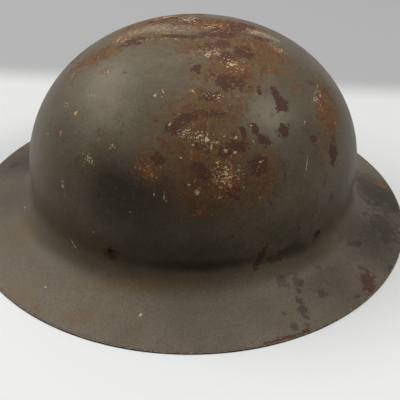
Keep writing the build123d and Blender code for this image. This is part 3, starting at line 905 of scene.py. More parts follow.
    def lay_rust(self, made: Patterns, colour: Socket, wear: Socket, broken: Socket,
                 dust: Socket) -> tuple[Socket, Socket, Socket]:
        """Lay the brown film, the dark red patches and the bright rust.

        Args:
            made: Patterns of the paint.
            colour: The paint under the rust.
            wear: Field of the worn zones.
            broken: Noise that makes a field's edge ragged.
            dust: Noise as fine as grit.

        Returns:
            The colour, the mask of the film, and the mask of the bare, rusted spots.
        """
        tree = made.tree
        film = add_node(tree, "ShaderNodeMapRange", {
            0: add_node(tree, "ShaderNodeMath", {0: wear, 1: broken}, operation="ADD"),
            **self.film_mask.sockets,
        }, interpolation_type="SMOOTHSTEP")
        brown = add_node(tree, "ShaderNodeMix", {
            6: linear(self.film),
            7: linear(self.film_red),
            0: add_node(tree, "ShaderNodeMapRange", {
                0: made.noise(self.film_red_mm, apart=2),
                **self.film_red_mask.sockets,
            }, interpolation_type="SMOOTHSTEP"),
        }, output=2, data_type="RGBA")
        colour = add_node(tree, "ShaderNodeMix", {6: colour, 7: brown, 0: film}, output=2, data_type="RGBA")

        maroon = add_node(tree, "ShaderNodeMath", {
            0: add_node(tree, "ShaderNodeAttribute", output="Fac", attribute_name=Stain.MAROON.value),
            1: broken,
        }, operation="ADD")
        chips = made.specks(self.maroon_chips, wear)
        patches = add_node(tree, "ShaderNodeMath", {
            0: add_node(tree, "ShaderNodeMapRange", {0: maroon, **self.maroon_mask.sockets},
                        interpolation_type="SMOOTHSTEP"),
            1: chips,
        }, operation="MAXIMUM")
        red = add_node(tree, "ShaderNodeMix", {
            6: linear(self.maroon),
            7: linear(self.maroon_dark),
            0: add_node(tree, "ShaderNodeMapRange", {0: dust, **self.maroon_grit.sockets},
                        interpolation_type="SMOOTHSTEP"),
        }, output=2, data_type="RGBA")
        colour = add_node(tree, "ShaderNodeMix", {
            6: colour,
            7: red,
            0: add_node(tree, "ShaderNodeMath", {0: patches, 1: self.maroon_strength}, operation="MULTIPLY"),
        }, output=2, data_type="RGBA")

        orange = add_node(tree, "ShaderNodeAttribute", output="Fac", attribute_name=Stain.ORANGE.value)
        solid = add_node(tree, "ShaderNodeMapRange", {
            0: add_node(tree, "ShaderNodeMath", {0: orange, 1: broken}, operation="ADD"),
            **self.orange_wash.sockets,
        }, interpolation_type="SMOOTHSTEP")
        flecks = add_node(tree, "ShaderNodeMath", {
            0: made.specks(self.orange_specks, orange),
            1: made.specks(self.orange_wear_specks, wear),
        }, operation="MAXIMUM")
        rusty = add_node(tree, "ShaderNodeMath", {0: solid, 1: flecks}, operation="MAXIMUM")
        colour = add_node(tree, "ShaderNodeMix", {6: colour, 7: linear(self.orange), 0: solid},
                          output=2, data_type="RGBA")
        glow = add_node(tree, "ShaderNodeMix", {
            6: linear(self.orange),
            7: linear(self.orange_bright),
            0: add_node(tree, "ShaderNodeMapRange", {0: dust, **self.orange_grit.sockets},
                        interpolation_type="SMOOTHSTEP"),
        }, output=2, data_type="RGBA")
        colour = add_node(tree, "ShaderNodeMix", {
            6: colour,
            7: glow,
            0: add_node(tree, "ShaderNodeMath", {0: flecks, 1: self.orange_strength}, operation="MULTIPLY"),
        }, output=2, data_type="RGBA")
        bare = add_node(tree, "ShaderNodeMath", {0: patches, 1: rusty}, operation="MAXIMUM")
        return colour, film, bare

    def lay_pale(self, made: Patterns, colour: Socket, wear: Socket, broken: Socket,
                 fine: Socket) -> tuple[Socket, Socket]:
        """Lay the pale flecks and flakes of primer, and what is rubbed pale.

        Args:
            made: Patterns of the paint.
            colour: The paint and rust so far.
            wear: Field of the worn zones.
            broken: Noise that makes a field's edge ragged.
            fine: Its finer part.

        Returns:
            The colour, and the mask of the primer.
        """
        tree = made.tree
        pale = add_node(tree, "ShaderNodeAttribute", output="Fac", attribute_name=Stain.CREAM.value)
        cream = add_node(tree, "ShaderNodeMath", {
            0: made.specks(self.cream_specks, pale),
            1: made.specks(self.cream_wear_specks, wear),
        }, operation="MAXIMUM")
        torn = add_node(tree, "ShaderNodeMath", {
            0: made.noise(self.dust_mm, detail=4.0, roughness=0.7, apart=9),
            1: self.torn_reach,
            2: -self.torn_reach / 2,
        }, operation="MULTIPLY_ADD")
        flake = add_node(tree, "ShaderNodeMath", {
            0: add_node(tree, "ShaderNodeMath", {0: torn, 1: fine}, operation="ADD"),
            1: self.flakes(made),
        }, operation="ADD")
        cream = add_node(tree, "ShaderNodeMath", {
            0: cream,
            1: add_node(tree, "ShaderNodeMapRange", {0: flake, **self.flake_mask.sockets},
                        interpolation_type="SMOOTHSTEP"),
        }, operation="MAXIMUM")
        strength = add_node(tree, "ShaderNodeMath", {0: cream, 1: self.cream_strength}, operation="MULTIPLY")
        colour = add_node(tree, "ShaderNodeMix", {6: colour, 7: linear(self.cream), 0: strength},
                          output=2, data_type="RGBA")

        rubbed = add_node(tree, "ShaderNodeAttribute", output="Fac", attribute_name=Stain.RUBBED.value)
        scuffs = add_node(tree, "ShaderNodeMath", {
            0: made.specks(self.scuff_specks, rubbed),
            1: self.scuff_strength,
        }, operation="MULTIPLY")
        rubbed = add_node(tree, "ShaderNodeMapRange", {
            0: add_node(tree, "ShaderNodeMath", {0: rubbed, 1: broken}, operation="ADD"),
            **self.rubbed_wash.sockets,
        }, interpolation_type="SMOOTHSTEP")
        rubbed = add_node(tree, "ShaderNodeMath", {0: rubbed, 1: scuffs}, operation="MAXIMUM")
        colour = add_node(tree, "ShaderNodeMix", {6: colour, 7: linear(self.rubbed), 0: rubbed},
                          output=2, data_type="RGBA")
        return colour, cream

    def build(self) -> Material:
        """Make the material.

        Returns:
            The paint.
        """
        material, tree, point = new_material(self.name)
        made = Patterns(tree, point)
        cloud = made.noise(self.cloud_mm, detail=4.0)
        mottle = made.noise(self.mottle_mm)
        shift = add_node(tree, "ShaderNodeMath", {
            0: made.noise(self.ragged_mm, detail=8.0, roughness=0.68),
            1: self.ragged_reach,
            2: -self.ragged_reach / 2,
        }, operation="MULTIPLY_ADD")
        fine = add_node(tree, "ShaderNodeMath", {
            0: made.noise(self.fine_mm, detail=4.0, roughness=0.6, apart=5),
            1: self.fine_reach,
            2: -self.fine_reach / 2,
        }, operation="MULTIPLY_ADD")
        broken = add_node(tree, "ShaderNodeMath", {0: shift, 1: fine}, operation="ADD")
        dust = made.noise(self.dust_mm, detail=2.0, roughness=0.5, apart=1)

        colour, dusty = self.lay_paint(made, cloud, mottle, broken)
        wear = add_node(tree, "ShaderNodeAttribute", output="Fac", attribute_name=Stain.WEAR.value)
        colour, film, bare = self.lay_rust(made, colour, wear, broken, dust)
        colour, cream = self.lay_pale(made, colour, wear, broken, fine)
        shade = add_node(tree, "ShaderNodeMapRange", {
            0: add_node(tree, "ShaderNodeMath", {0: fine, 1: self.grit_fine, 2: dust},
                        operation="MULTIPLY_ADD"),
            **self.grit_shade.sockets,
        }, interpolation_type="SMOOTHSTEP")
        colour = add_node(tree, "ShaderNodeVectorMath", {0: colour, "Scale": shade}, operation="SCALE")

        rough = add_node(tree, "ShaderNodeMath", {
            0: bare,
            1: add_node(tree, "ShaderNodeMath", {0: film, 1: self.film_roughening}, operation="MULTIPLY"),
        }, operation="MAXIMUM")
        rough = add_node(tree, "ShaderNodeMath", {
            0: rough,
            1: add_node(tree, "ShaderNodeMath", {0: dusty, 1: self.dust_roughening}, operation="MULTIPLY"),
        }, operation="MAXIMUM")
        rough = add_node(tree, "ShaderNodeMapRange", {
            0: rough,
            3: self.paint_roughness,
            4: self.rust_roughness,
        }, interpolation_type="SMOOTHSTEP")
        height = add_node(tree, "ShaderNodeMath", {
            0: add_node(tree, "ShaderNodeMath", {0: dust, 1: self.grit_height}, operation="MULTIPLY"),
            1: bare,
        }, operation="SUBTRACT")
        height = add_node(tree, "ShaderNodeMath", {0: cream, 1: self.cream_height, 2: height},
                          operation="MULTIPLY_ADD")
        bump = add_node(tree, "ShaderNodeBump",
                        {"Strength": 1.0, "Distance": self.paint_thickness_mm * MM, "Height": height})
        shader = add_node(tree, "ShaderNodeBsdfPrincipled",
                          {"Base Color": colour, "Roughness": rough, "Specular IOR Level": self.specular,
                           "Specular Tint": linear(self.sheen_tint), "Normal": bump})
        add_node(tree, "ShaderNodeOutputMaterial", {"Surface": shader})
        return material


# Inside of the shell: the same paint, less handled, with dust and a first bloom of rust
INNER_PAINT = Finish("inner_paint", "#4c473b", "#585143", "#45311f", 24.0, 4.2, 0.3, Grain.SPECKLED,
                     0.9, 0.05, 0.62)
# Sheared edge of the sheet: dark rusted steel with rubbed bright spots
RAW_EDGE = Finish("raw_edge", "#2a2320", "#3b302b", "#6a584a", 6.0, 1.6, 0.4, Grain.SPECKLED,
                  0.6, 0.05, 0.6)


def mesh_object(name: str, points: np.ndarray, faces: list, materials: list[Material],
                slots: np.ndarray | None = None) -> Object:
    """Make a smooth-shaded mesh object in the row frame.

    Args:
        name: Name of the piece.
        points: Vertex places in metres.
        faces: Vertex numbers of each face.
        materials: Materials of the piece, in slot order.
        slots: Material slot of each face, or None for the first.

    Returns:
        The new object, linked to the scene.
    """
    mesh = bpy.data.meshes.new(name)
    mesh.from_pydata(points.tolist(), [], faces)
    for material in materials:
        mesh.materials.append(material)
    if slots is not None:
        mesh.polygons.foreach_set("material_index", np.asarray(slots, dtype=np.int32))
    mesh.validate()
    mesh.shade_smooth()
    made = bpy.data.objects.new(name, mesh)
    bpy.context.scene.collection.objects.link(made)
    return made


def apply_modifiers(piece: Object) -> None:
    """Replace a piece's mesh by what its modifiers make of it.

    Args:
        piece: Mesh object with modifiers.
    """
    graph = bpy.context.evaluated_depsgraph_get()
    made = bpy.data.meshes.new_from_object(piece.evaluated_get(graph))
    old = piece.data
    piece.modifiers.clear()
    piece.data = made
    bpy.data.meshes.remove(old)


def cut_away(piece: Object, cutters: list[Object]) -> None:
    """Cut other bodies out of a piece, and delete them.

    Args:
        piece: Mesh object that is cut.
        cutters: Closed bodies to cut out.
    """
    for cutter in cutters:
        cut = piece.modifiers.new("cut", "BOOLEAN")
        cut.operation = "DIFFERENCE"
        cut.solver = "EXACT"
        cut.object = cutter
    apply_modifiers(piece)
    for cutter in cutters:
        bpy.data.objects.remove(cutter)


def rod(name: str, start: Vector, way: Vector, radius: float, length: float, sides: int = 24) -> Object:
    """Make a straight round rod.

    Args:
        name: Name of the rod.
        start: Middle of its first end.
        way: Direction that it runs in, of length 1.
        radius: Its radius.
        length: Its length.
        sides: How many flat sides it has.

    Returns:
        The rod, closed at both ends.
    """
    side = way.orthogonal().normalized()
    turns = np.linspace(0, 2 * math.pi, sides, endpoint=False)
    ring = np.array([np.array(side) * math.cos(t) + np.array(way.cross(side)) * math.sin(t) for t in turns])
    ends = [np.array(start) + ring * radius, np.array(start + way * length) + ring * radius]
    faces = ring_faces(2, sides) + [list(range(sides))[::-1], list(range(sides, 2 * sides))]
    return mesh_object(name, np.concatenate(ends), faces, [])


def ring_faces(rings: int, around: int, first: int = 0) -> list[list[int]]:
    """Join rings of points, one after the other, with four-sided faces.

    Args:
        rings: How many rings there are.
        around: How many points each has.
        first: Number of the first ring's first point.

    Returns:
        Vertex numbers of each face.
    """
    faces = []
    for start in range(first, first + (rings - 1) * around, around):
        for k in range(around):
            after = (k + 1) % around
            faces.append([start + k, start + after, start + around + after, start + around + k])
    return faces


@dataclass(frozen=True)
class Oval:
    """One level of a lofted oval form: its height, half axes and place along the helmet."""

    height: float
    half_length: float
    half_width: float
    forward: float

    def points(self, turns: np.ndarray) -> np.ndarray:
        """Find points of the oval.

        Args:
            turns: Turns round the oval from the front.

        Returns:
            Their places, one in each row.
        """
        return np.stack([
            self.forward + self.half_length * np.cos(turns),
            self.half_width * np.sin(turns),
            np.full_like(turns, self.height),
        ], axis=-1)


@dataclass(frozen=True)
class Dome:
    """Side view of a dome that bends from an upright foot, at a turn of 0, to a flat top."""

    half_length: float
    flat_half_length: float
    side_power: float = 2.21
    rise_power: float = 1.97

    @property
    def last(self) -> float:
        """Turn at the edge of the flat top."""
        return math.acos((self.flat_half_length / self.half_length) ** (self.side_power / 2))

    @property
    def full(self) -> float:
        """Rise at the flat top, before it is brought to 1."""
        return math.sin(self.last) ** (2 / self.rise_power)

    def share(self, turn: float) -> float:
        """Share of the half axes at a turn."""
        return math.cos(turn) ** (2 / self.side_power)

    def rise(self, turn: float) -> float:
        """Share of the dome's height at a turn."""
        return math.sin(turn) ** (2 / self.rise_power) / self.full

    def turn(self, rise: float) -> float:
        """Turn at a share of the dome's height."""
        return math.asin(min(1.0, (rise * self.full) ** (self.rise_power / 2)))


class Face(IntEnum):
    """Faces of the shell, in the order of their material slots."""

    OUTSIDE = 0
    INSIDE = 1
    EDGE = 2


@dataclass
class Shell:
    """The pressed steel shell: a high bowl with a flat crown, a soft flare and a wide brim."""

    sheet: float = 1.2 * MM
    bowl_half_length: float = 113.3 * MM
    bowl_half_width: float = 100.85 * MM
    bowl_forward: float = 2.5 * MM
    wall_top: float = 43.0 * MM
    flare_top: float = 29.0 * MM
    flare_radius: float = 20.0 * MM
    edge_height: float = 1.0 * MM
    crown_half_length: float = 31.0 * MM
    around: int = 512
    brim_steps: int = 26
    flare_steps: int = 14
    wall_steps: int = 8
    dome_steps: int = 72
    crown_steps: int = 16
    hole_height: float = 33.0 * MM
    hole_turns_deg: tuple[float, ...] = (0, 54, 126, 180, 234, 306)
    hole_radius: float = 1.85 * MM
    seat_radius: float = 2.7 * MM
    seat_depth: float = 0.5 * MM
    cutter_out: float = 1.0 * MM
    cutter_length: float = 4.0 * MM
    sharp_deg: float = 30.0
    rim_wear: float = 1.6 * MM
    rim_rubbed: float = 0.5
    rim_dark_band: float = 1.3 * MM

    def __post_init__(self) -> None:
        """Take the brim's and the crown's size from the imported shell."""
        low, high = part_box("shell")
        self.brim_half_length = (high.x - low.x) / 2
        self.brim_half_width = (high.y - low.y) / 2
        self.top = high.z
        self.reach = (self.brim_half_length - self.bowl_half_length
                      + self.brim_half_width - self.bowl_half_width) / 2
        rise = self.flare_top - self.edge_height
        flat = self.reach - self.flare_radius
        self.slope = math.atan2(rise, flat) - math.asin(self.flare_radius / math.hypot(flat, rise))

    def brim_oval(self, out: float, height: float) -> Oval:
        """Find the oval of the brim at a distance out from the bowl's wall.

        Args:
            out: Distance from the wall.
            height: Height over the table.

        Returns:
            The oval, which turns from the bowl's form to that of the brim's edge.
        """
        share = out / self.reach
        return Oval(
            height,
            self.bowl_half_length + (self.brim_half_length - self.bowl_half_length) * share,
            self.bowl_half_width + (self.brim_half_width - self.bowl_half_width) * share,
            self.bowl_forward * (1 - share),
        )

    def profile(self, depth: float) -> list[Oval]:
        """Work out the ovals of one face of the sheet.

        Args:
            depth: Depth under the outside: 0, or the thickness of the sheet.

        Returns:
            Its ovals, from the brim's edge up to the crown.
        """
        radius = self.flare_radius + depth
        foot = self.edge_height if depth == 0 else 0.0
        slope_top = self.flare_top - radius * math.cos(self.slope)
        slope_out = self.flare_radius - radius * math.sin(self.slope)
        foot_out = slope_out + (slope_top - foot) / math.tan(self.slope)
        ovals = []
        for share in np.linspace(0, 1, self.brim_steps, endpoint=False):
            ovals.append(self.brim_oval(foot_out + (slope_out - foot_out) * share,
                                        foot + (slope_top - foot) * share))
        for share in np.linspace(0, 1, self.flare_steps, endpoint=False):
            turn = (math.pi / 2 - self.slope) * (1 - share)
            ovals.append(self.brim_oval(self.flare_radius - radius * math.cos(turn),
                                        self.flare_top - radius * math.sin(turn)))
        length, width = self.bowl_half_length - depth, self.bowl_half_width - depth
        for share in np.linspace(0, 1, self.wall_steps, endpoint=False):
            height = self.flare_top + (self.wall_top - self.flare_top) * share
            ovals.append(Oval(height, length, width, self.bowl_forward))
        dome = Dome(length, self.crown_half_length - depth / 2)
        for turn in np.linspace(0, dome.last, self.dome_steps, endpoint=False):
            side = dome.share(turn)
            height = self.wall_top + (self.top - depth - self.wall_top) * dome.rise(turn)
            ovals.append(Oval(height, length * side, width * side, self.bowl_forward))
        for share in np.linspace(0, 1, self.crown_steps, endpoint=False):
            side = dome.flat_half_length / length * (1 - share)
            ovals.append(Oval(self.top - depth, length * side, width * side, self.bowl_forward))
        return ovals

    def wall_point(self, turn_deg: float, height: float) -> tuple[Vector, Vector]:
        """Find a point on the outside of the bowl's wall.

        Args:
            turn_deg: Turn round the bowl from the front.
            height: Height over the table.

        Returns:
            The point, and the wall's normal there.
        """
        turn = math.radians(turn_deg)
        point = Vector((self.bowl_forward + self.bowl_half_length * math.cos(turn),
                        self.bowl_half_width * math.sin(turn), height))
        normal = Vector((math.cos(turn) / self.bowl_half_length, math.sin(turn) / self.bowl_half_width, 0))
        return point, normal.normalized()

    def spot(self, tree: BVHTree, view: PhotoView, mark: Mark | Flake) -> Spot | None:
        """Find where a mark lies on the shell.

        Args:
            tree: The shell's faces.
            view: The photograph's camera.
            mark: The mark or flake.

        Returns:
            Its place, or None where its pixel is off the shell.
        """
        place, normal, _, _ = tree.ray_cast(*view.ray(mark.x_px, mark.y_px))
        if place is None:
            log.warning("the mark at %s, %s is off the shell", mark.x_px, mark.y_px)
            return None
        right = view.axes()[1]
        across = (right - normal * right.dot(normal)).normalized()
        across = Matrix.Rotation(math.radians(mark.turn_deg), 3, normal) @ across
        return Spot(place, across, normal.cross(across), normal)

    def store_fields(self, piece: Object, tree: BVHTree, view: PhotoView) -> None:
        """Store the marks' fields on the shell, where the paint reads them.

        Marks of the near side are also stored turned half round, for the far side, which the photograph
        doesn't show. On the bowl those are the marks nearer than its middle, and on the brim only those well
        in front of it. Any others would turn up again in view.

        Args:
            piece: The shell.
            tree: Its faces.
            view: The photograph's camera.
        """
        count = len(piece.data.vertices)
        points = np.empty(count * 3)
        piece.data.vertices.foreach_get("co", points)
        points = points.reshape(-1, 3)
        middle = np.array([self.bowl_forward, 0, 0])
        turned = (points - middle) * np.array([-1, -1, 1]) + middle
        fields = {stain: np.full(count, -1.0) for stain in Stain}
        for stain, marks in MARKS.items():
            for mark in marks:
                spot = self.spot(tree, view, mark)
                if spot is None:
                    continue
                last_copied = -self.brim_half_width / 3 if spot.place.z < self.flare_top else 0.0
                for cloud in (points, turned) if spot.place.y < last_copied else (points,):
                    fields[stain] = np.maximum(fields[stain], spot.field(cloud, mark))
        share = np.hypot(points[:, 0] / self.brim_half_length, points[:, 1] / self.brim_half_width)
        from_edge = (1 - share) * self.brim_half_length
        fields[Stain.RUBBED] = np.maximum(fields[Stain.RUBBED], self.rim_rubbed - from_edge / self.rim_wear)
        # The paint turns dark towards the brim's edge.
        fields[Stain.DARK] = np.maximum(fields[Stain.DARK], 1 - from_edge / self.rim_dark_band)
        for stain, values in fields.items():
            attribute = piece.data.attributes.new(stain.value, "FLOAT", "POINT")
            attribute.data.foreach_set("value", values.astype(np.float32))

    def build(self, view: PhotoView) -> None:
        """Make the shell's mesh and dress it.

        Args:
            view: The photograph's camera, which places the marks.
        """
        turns = np.linspace(0, 2 * math.pi, self.around, endpoint=False)
        outside = self.profile(0)
        inside = self.profile(self.sheet)
        ovals = outside[::-1] + inside
        rings = [oval.points(turns) for oval in ovals]
        edge_foot = Oval(0.0, self.brim_half_length, self.brim_half_width, 0.0).points(turns)
        rings.insert(len(outside), edge_foot)
        tops = np.array([[self.bowl_forward, 0, self.top], [self.bowl_forward, 0, self.top - self.sheet]])
        points = np.concatenate([*rings, tops])
        faces = [face[:1] + face[:0:-1] for face in ring_faces(len(rings), self.around)]
        slots = []
        for level in range(len(rings) - 1):
            is_edge = len(outside) - 1 <= level <= len(outside)
            side = Face.OUTSIDE if level < len(outside) else Face.INSIDE
            slots += [Face.EDGE if is_edge else side] * self.around
        last, top = (len(rings) - 1) * self.around, len(rings) * self.around
        for k in range(self.around):
            after = (k + 1) % self.around
            faces += [[top, k, after], [top + 1, last + after, last + k]]
            slots += [Face.OUTSIDE, Face.INSIDE]
        tree = BVHTree.FromPolygons(points.tolist(), faces)
        spots = [(flake, self.spot(tree, view, flake)) for flake in FLAKES]
        paint = WornPaint(self.bowl_forward / MM, tuple((flake, spot) for flake, spot in spots if spot))
        materials = [paint.build(), INNER_PAINT.build(), RAW_EDGE.build()]
        piece = mesh_object("pressed_shell", points, faces, materials, np.array(slots))
        cutters = []
        for number, turn in enumerate(self.hole_turns_deg):
            point, normal = self.wall_point(turn, self.hole_height)
            start = point + normal * self.cutter_out
            cutters.append(rod(f"hole_{number}", start, -normal, self.hole_radius, self.cutter_length))
            cutters.append(rod(f"seat_{number}", start, -normal, self.seat_radius,
                               self.cutter_out + self.seat_depth))
        cut_away(piece, cutters)
        piece.data.set_sharp_from_angle(angle=math.radians(self.sharp_deg))
        self.store_fields(piece, tree, view)
        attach(piece, "helmet")
        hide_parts("shell")


def run_of_stitches(name: str, places: np.ndarray, ways: np.ndarray, normals: np.ndarray,
                    material: Material, length: float = 2.3 * MM, radius: float = 0.34 * MM,
                    bluntness: float = 0.6, proud: float = 0.3) -> Object:
    """Make a row of thread stitches, each a flattened bead that lies on the leather.

    Args:
        name: Name of the piece.
        places: Middle of each stitch on the leather's face.
        ways: Direction of each stitch.
        normals: Outward direction of the leather at each stitch.
        material: The thread.
        length: Length of a stitch.
        radius: Half thickness of the thread.
        bluntness: Power that rounds the ends: the lower it is, the blunter they are.
        proud: Share of the radius that a stitch's middle stands over the leather.

    Returns:
        The row as one mesh.
    """
    sides, rings = 8, 7
    turns = np.linspace(0, 2 * math.pi, sides, endpoint=False)
    falls = np.linspace(-math.pi / 2, math.pi / 2, rings)
    points, faces = [], []
    for place, way, normal in zip(places, ways, normals):
        side = np.cross(normal, way)
        first = len(points)
        for fall in falls:
            along = way * math.sin(fall) * length / 2
            for turn in turns:
                out = (side * math.cos(turn) + normal * math.sin(turn)) * radius * math.cos(fall) ** bluntness
                points.append(place + along + out + normal * radius * proud)
        faces += ring_faces(rings, sides, first)
    return mesh_object(name, np.array(points), faces, [material])


@dataclass
class LeatherCradle:
    """Leather headband that is cut into eight tongues, which rise to the crown plate."""

    leather: float = 1.6 * MM
    shoulder: float = 55.0 * MM
    slot_root: float = 58.0 * MM
    slot_root_radius: float = 11.5 * MM
    slot_inner_width: float = 5.0 * MM
    slot_outer_width: float = 25.0 * MM
    flat_half_length: float = 34.0 * MM
    hole_radius: float = 15.0 * MM
    tongues: int = 8
    columns: int = 26
    band_steps: int = 10
    shoulder_steps: int = 3
    root_steps: int = 12
    tongue_steps: int = 40
    crown_steps: int = 8
    edge_round: float = 0.45 * MM
    round_from_deg: float = 50.0
    weld: float = 0.01 * MM
    stitch_pitch: float = 3.6 * MM
    stitch_over_foot: float = 2.2 * MM
    stitch_under_shoulder: float = 1.6 * MM

    def __post_init__(self) -> None:
        """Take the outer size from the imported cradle."""
        low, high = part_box("leather_cradle")
        self.foot, self.top = low.z, high.z
        self.half_length, self.half_width = (high.x - low.x) / 2, (high.y - low.y) / 2
        self.forward = (high.x + low.x) / 2
        self.dome = Dome(self.half_length, self.flat_half_length)

    def turn_at(self, height: float) -> float:
        """Turn of the dome at a height over its shoulder."""
        return self.dome.turn((height - self.shoulder) / (self.top - self.shoulder))

    def levels(self) -> list[tuple[float, float, float]]:
        """Work out the levels of the leather, from its foot to the top of the dome.

        Returns:
            Height, share of the half axes, and half width of the slots, for each level.
        """
        band = np.linspace(self.foot, self.shoulder, self.band_steps, endpoint=False)
        shoulder = np.linspace(self.shoulder, self.slot_root, self.shoulder_steps, endpoint=False)
        made = [(z, 1.0, 0.0) for z in band]
        made += [(z, self.dome.share(self.turn_at(z)), 0.0) for z in shoulder]
        for turn in np.linspace(0, math.pi / 2, self.root_steps, endpoint=False):
            height = self.slot_root + self.slot_root_radius * (1 - math.cos(turn))
            share = self.dome.share(self.turn_at(height))
            made.append((height, share, self.slot_root_radius * math.sin(turn)))
        first = self.turn_at(self.slot_root + self.slot_root_radius)
        for turn in np.linspace(first, self.dome.last, self.tongue_steps):
            height = self.shoulder + (self.top - self.shoulder) * self.dome.rise(turn)
            made.append((height, self.dome.share(turn), self.slot_outer_width))
        return made

    def place(self, angle: float, height: float, share: float) -> tuple[float, float, float]:
        """Find a point of the outer face.

        Args:
            angle: Polar angle from the front.
            height: Height over the table.
            share: Share of the half axes at that height.

        Returns:
            The point.
        """
        radius = share / math.hypot(math.cos(angle) / self.half_length, math.sin(angle) / self.half_width)
        return self.forward + radius * math.cos(angle), radius * math.sin(angle), height

    def outer_face(self) -> tuple[list[tuple[float, float, float]], list[list[int]]]:
        """Work out the outer face of all tongues, which still share no points.

        Returns:
            Its points, and the vertex numbers of each face.
        """
        growth = (self.slot_outer_width - self.slot_inner_width) / (self.half_length - self.hole_radius)
        levels = self.levels()
        half_turn = math.pi / self.tongues
        points, faces = [], []
        for tongue in range(self.tongues):
            middle = 2 * half_turn * tongue
            first = len(points)
            for level in range(len(levels) + self.crown_steps):
                height, share, half = levels[min(level, len(levels) - 1)]
                steps_in = max(0, level - len(levels) + 1) / self.crown_steps
                for column in range(self.columns + 1):
                    u = 2 * column / self.columns - 1
                    edge = middle + math.copysign(half_turn, u)
                    x, y, _ = self.place(edge, height, share)
                    radius = math.hypot(x - self.forward, y)
                    radius += (self.hole_radius - radius) * steps_in
                    wedge = (self.slot_inner_width + growth * (radius - self.hole_radius)) / 2
                    cut = math.asin(min(half, wedge) / radius)
                    angle = middle + u * (half_turn - cut)
                    x, y, z = self.place(angle, height, share)
                    reach = math.hypot(x - self.forward, y)
                    scale = (reach + (self.hole_radius - reach) * steps_in) / reach
                    points.append((self.forward + (x - self.forward) * scale, y * scale, z))
            width = self.columns + 1
            for level in range(len(levels) + self.crown_steps - 1):
                for column in range(self.columns):
                    a = first + level * width + column
                    faces.append([a, a + 1, a + width + 1, a + width])
        return points, faces

    def stitch(self, thread: Material) -> None:
        """Stitch the headband along its foot and its shoulder.

        Args:
            thread: Finish of the stitches.
        """
        heights = (self.foot + self.stitch_over_foot, self.shoulder - self.stitch_under_shoulder)
        girth = math.pi * (self.half_length + self.half_width)
        turns = np.linspace(0, 2 * math.pi, int(girth / self.stitch_pitch), endpoint=False)
        for row, height in enumerate(heights):
            oval = Oval(height, self.half_length - self.leather, self.half_width - self.leather, self.forward)
            ways = np.stack([-oval.half_length * np.sin(turns), oval.half_width * np.cos(turns), 0 * turns],
                            axis=-1)
            ways /= np.linalg.norm(ways, axis=1, keepdims=True)
            normals = np.cross(np.array(UP), ways)
            stitches = run_of_stitches(f"cradle_stitches_{row}", oval.points(turns), ways, normals, thread)
            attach(stitches, "helmet")

    def build(self, leather: Material, thread: Material) -> None:
        """Make the cradle and its stitching.

        Args:
            leather: Finish of the leather.
            thread: Finish of the stitches.
        """
        points, faces = self.outer_face()
        piece = mesh_object("leather_tongues", np.array(points), faces, [leather])
        weld = piece.modifiers.new("weld", "WELD")
        weld.merge_threshold = self.weld
        thick = piece.modifiers.new("thickness", "SOLIDIFY")
        thick.thickness = self.leather
        thick.offset = -1
        rounded = piece.modifiers.new("rounded", "BEVEL")
        rounded.width = self.edge_round
        rounded.segments = 2
        rounded.limit_method = "ANGLE"
        rounded.angle_limit = math.radians(self.round_from_deg)
        apply_modifiers(piece)
        piece.data.shade_smooth()
        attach(piece, "helmet")
        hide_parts("leather_cradle")
        self.stitch(thread)


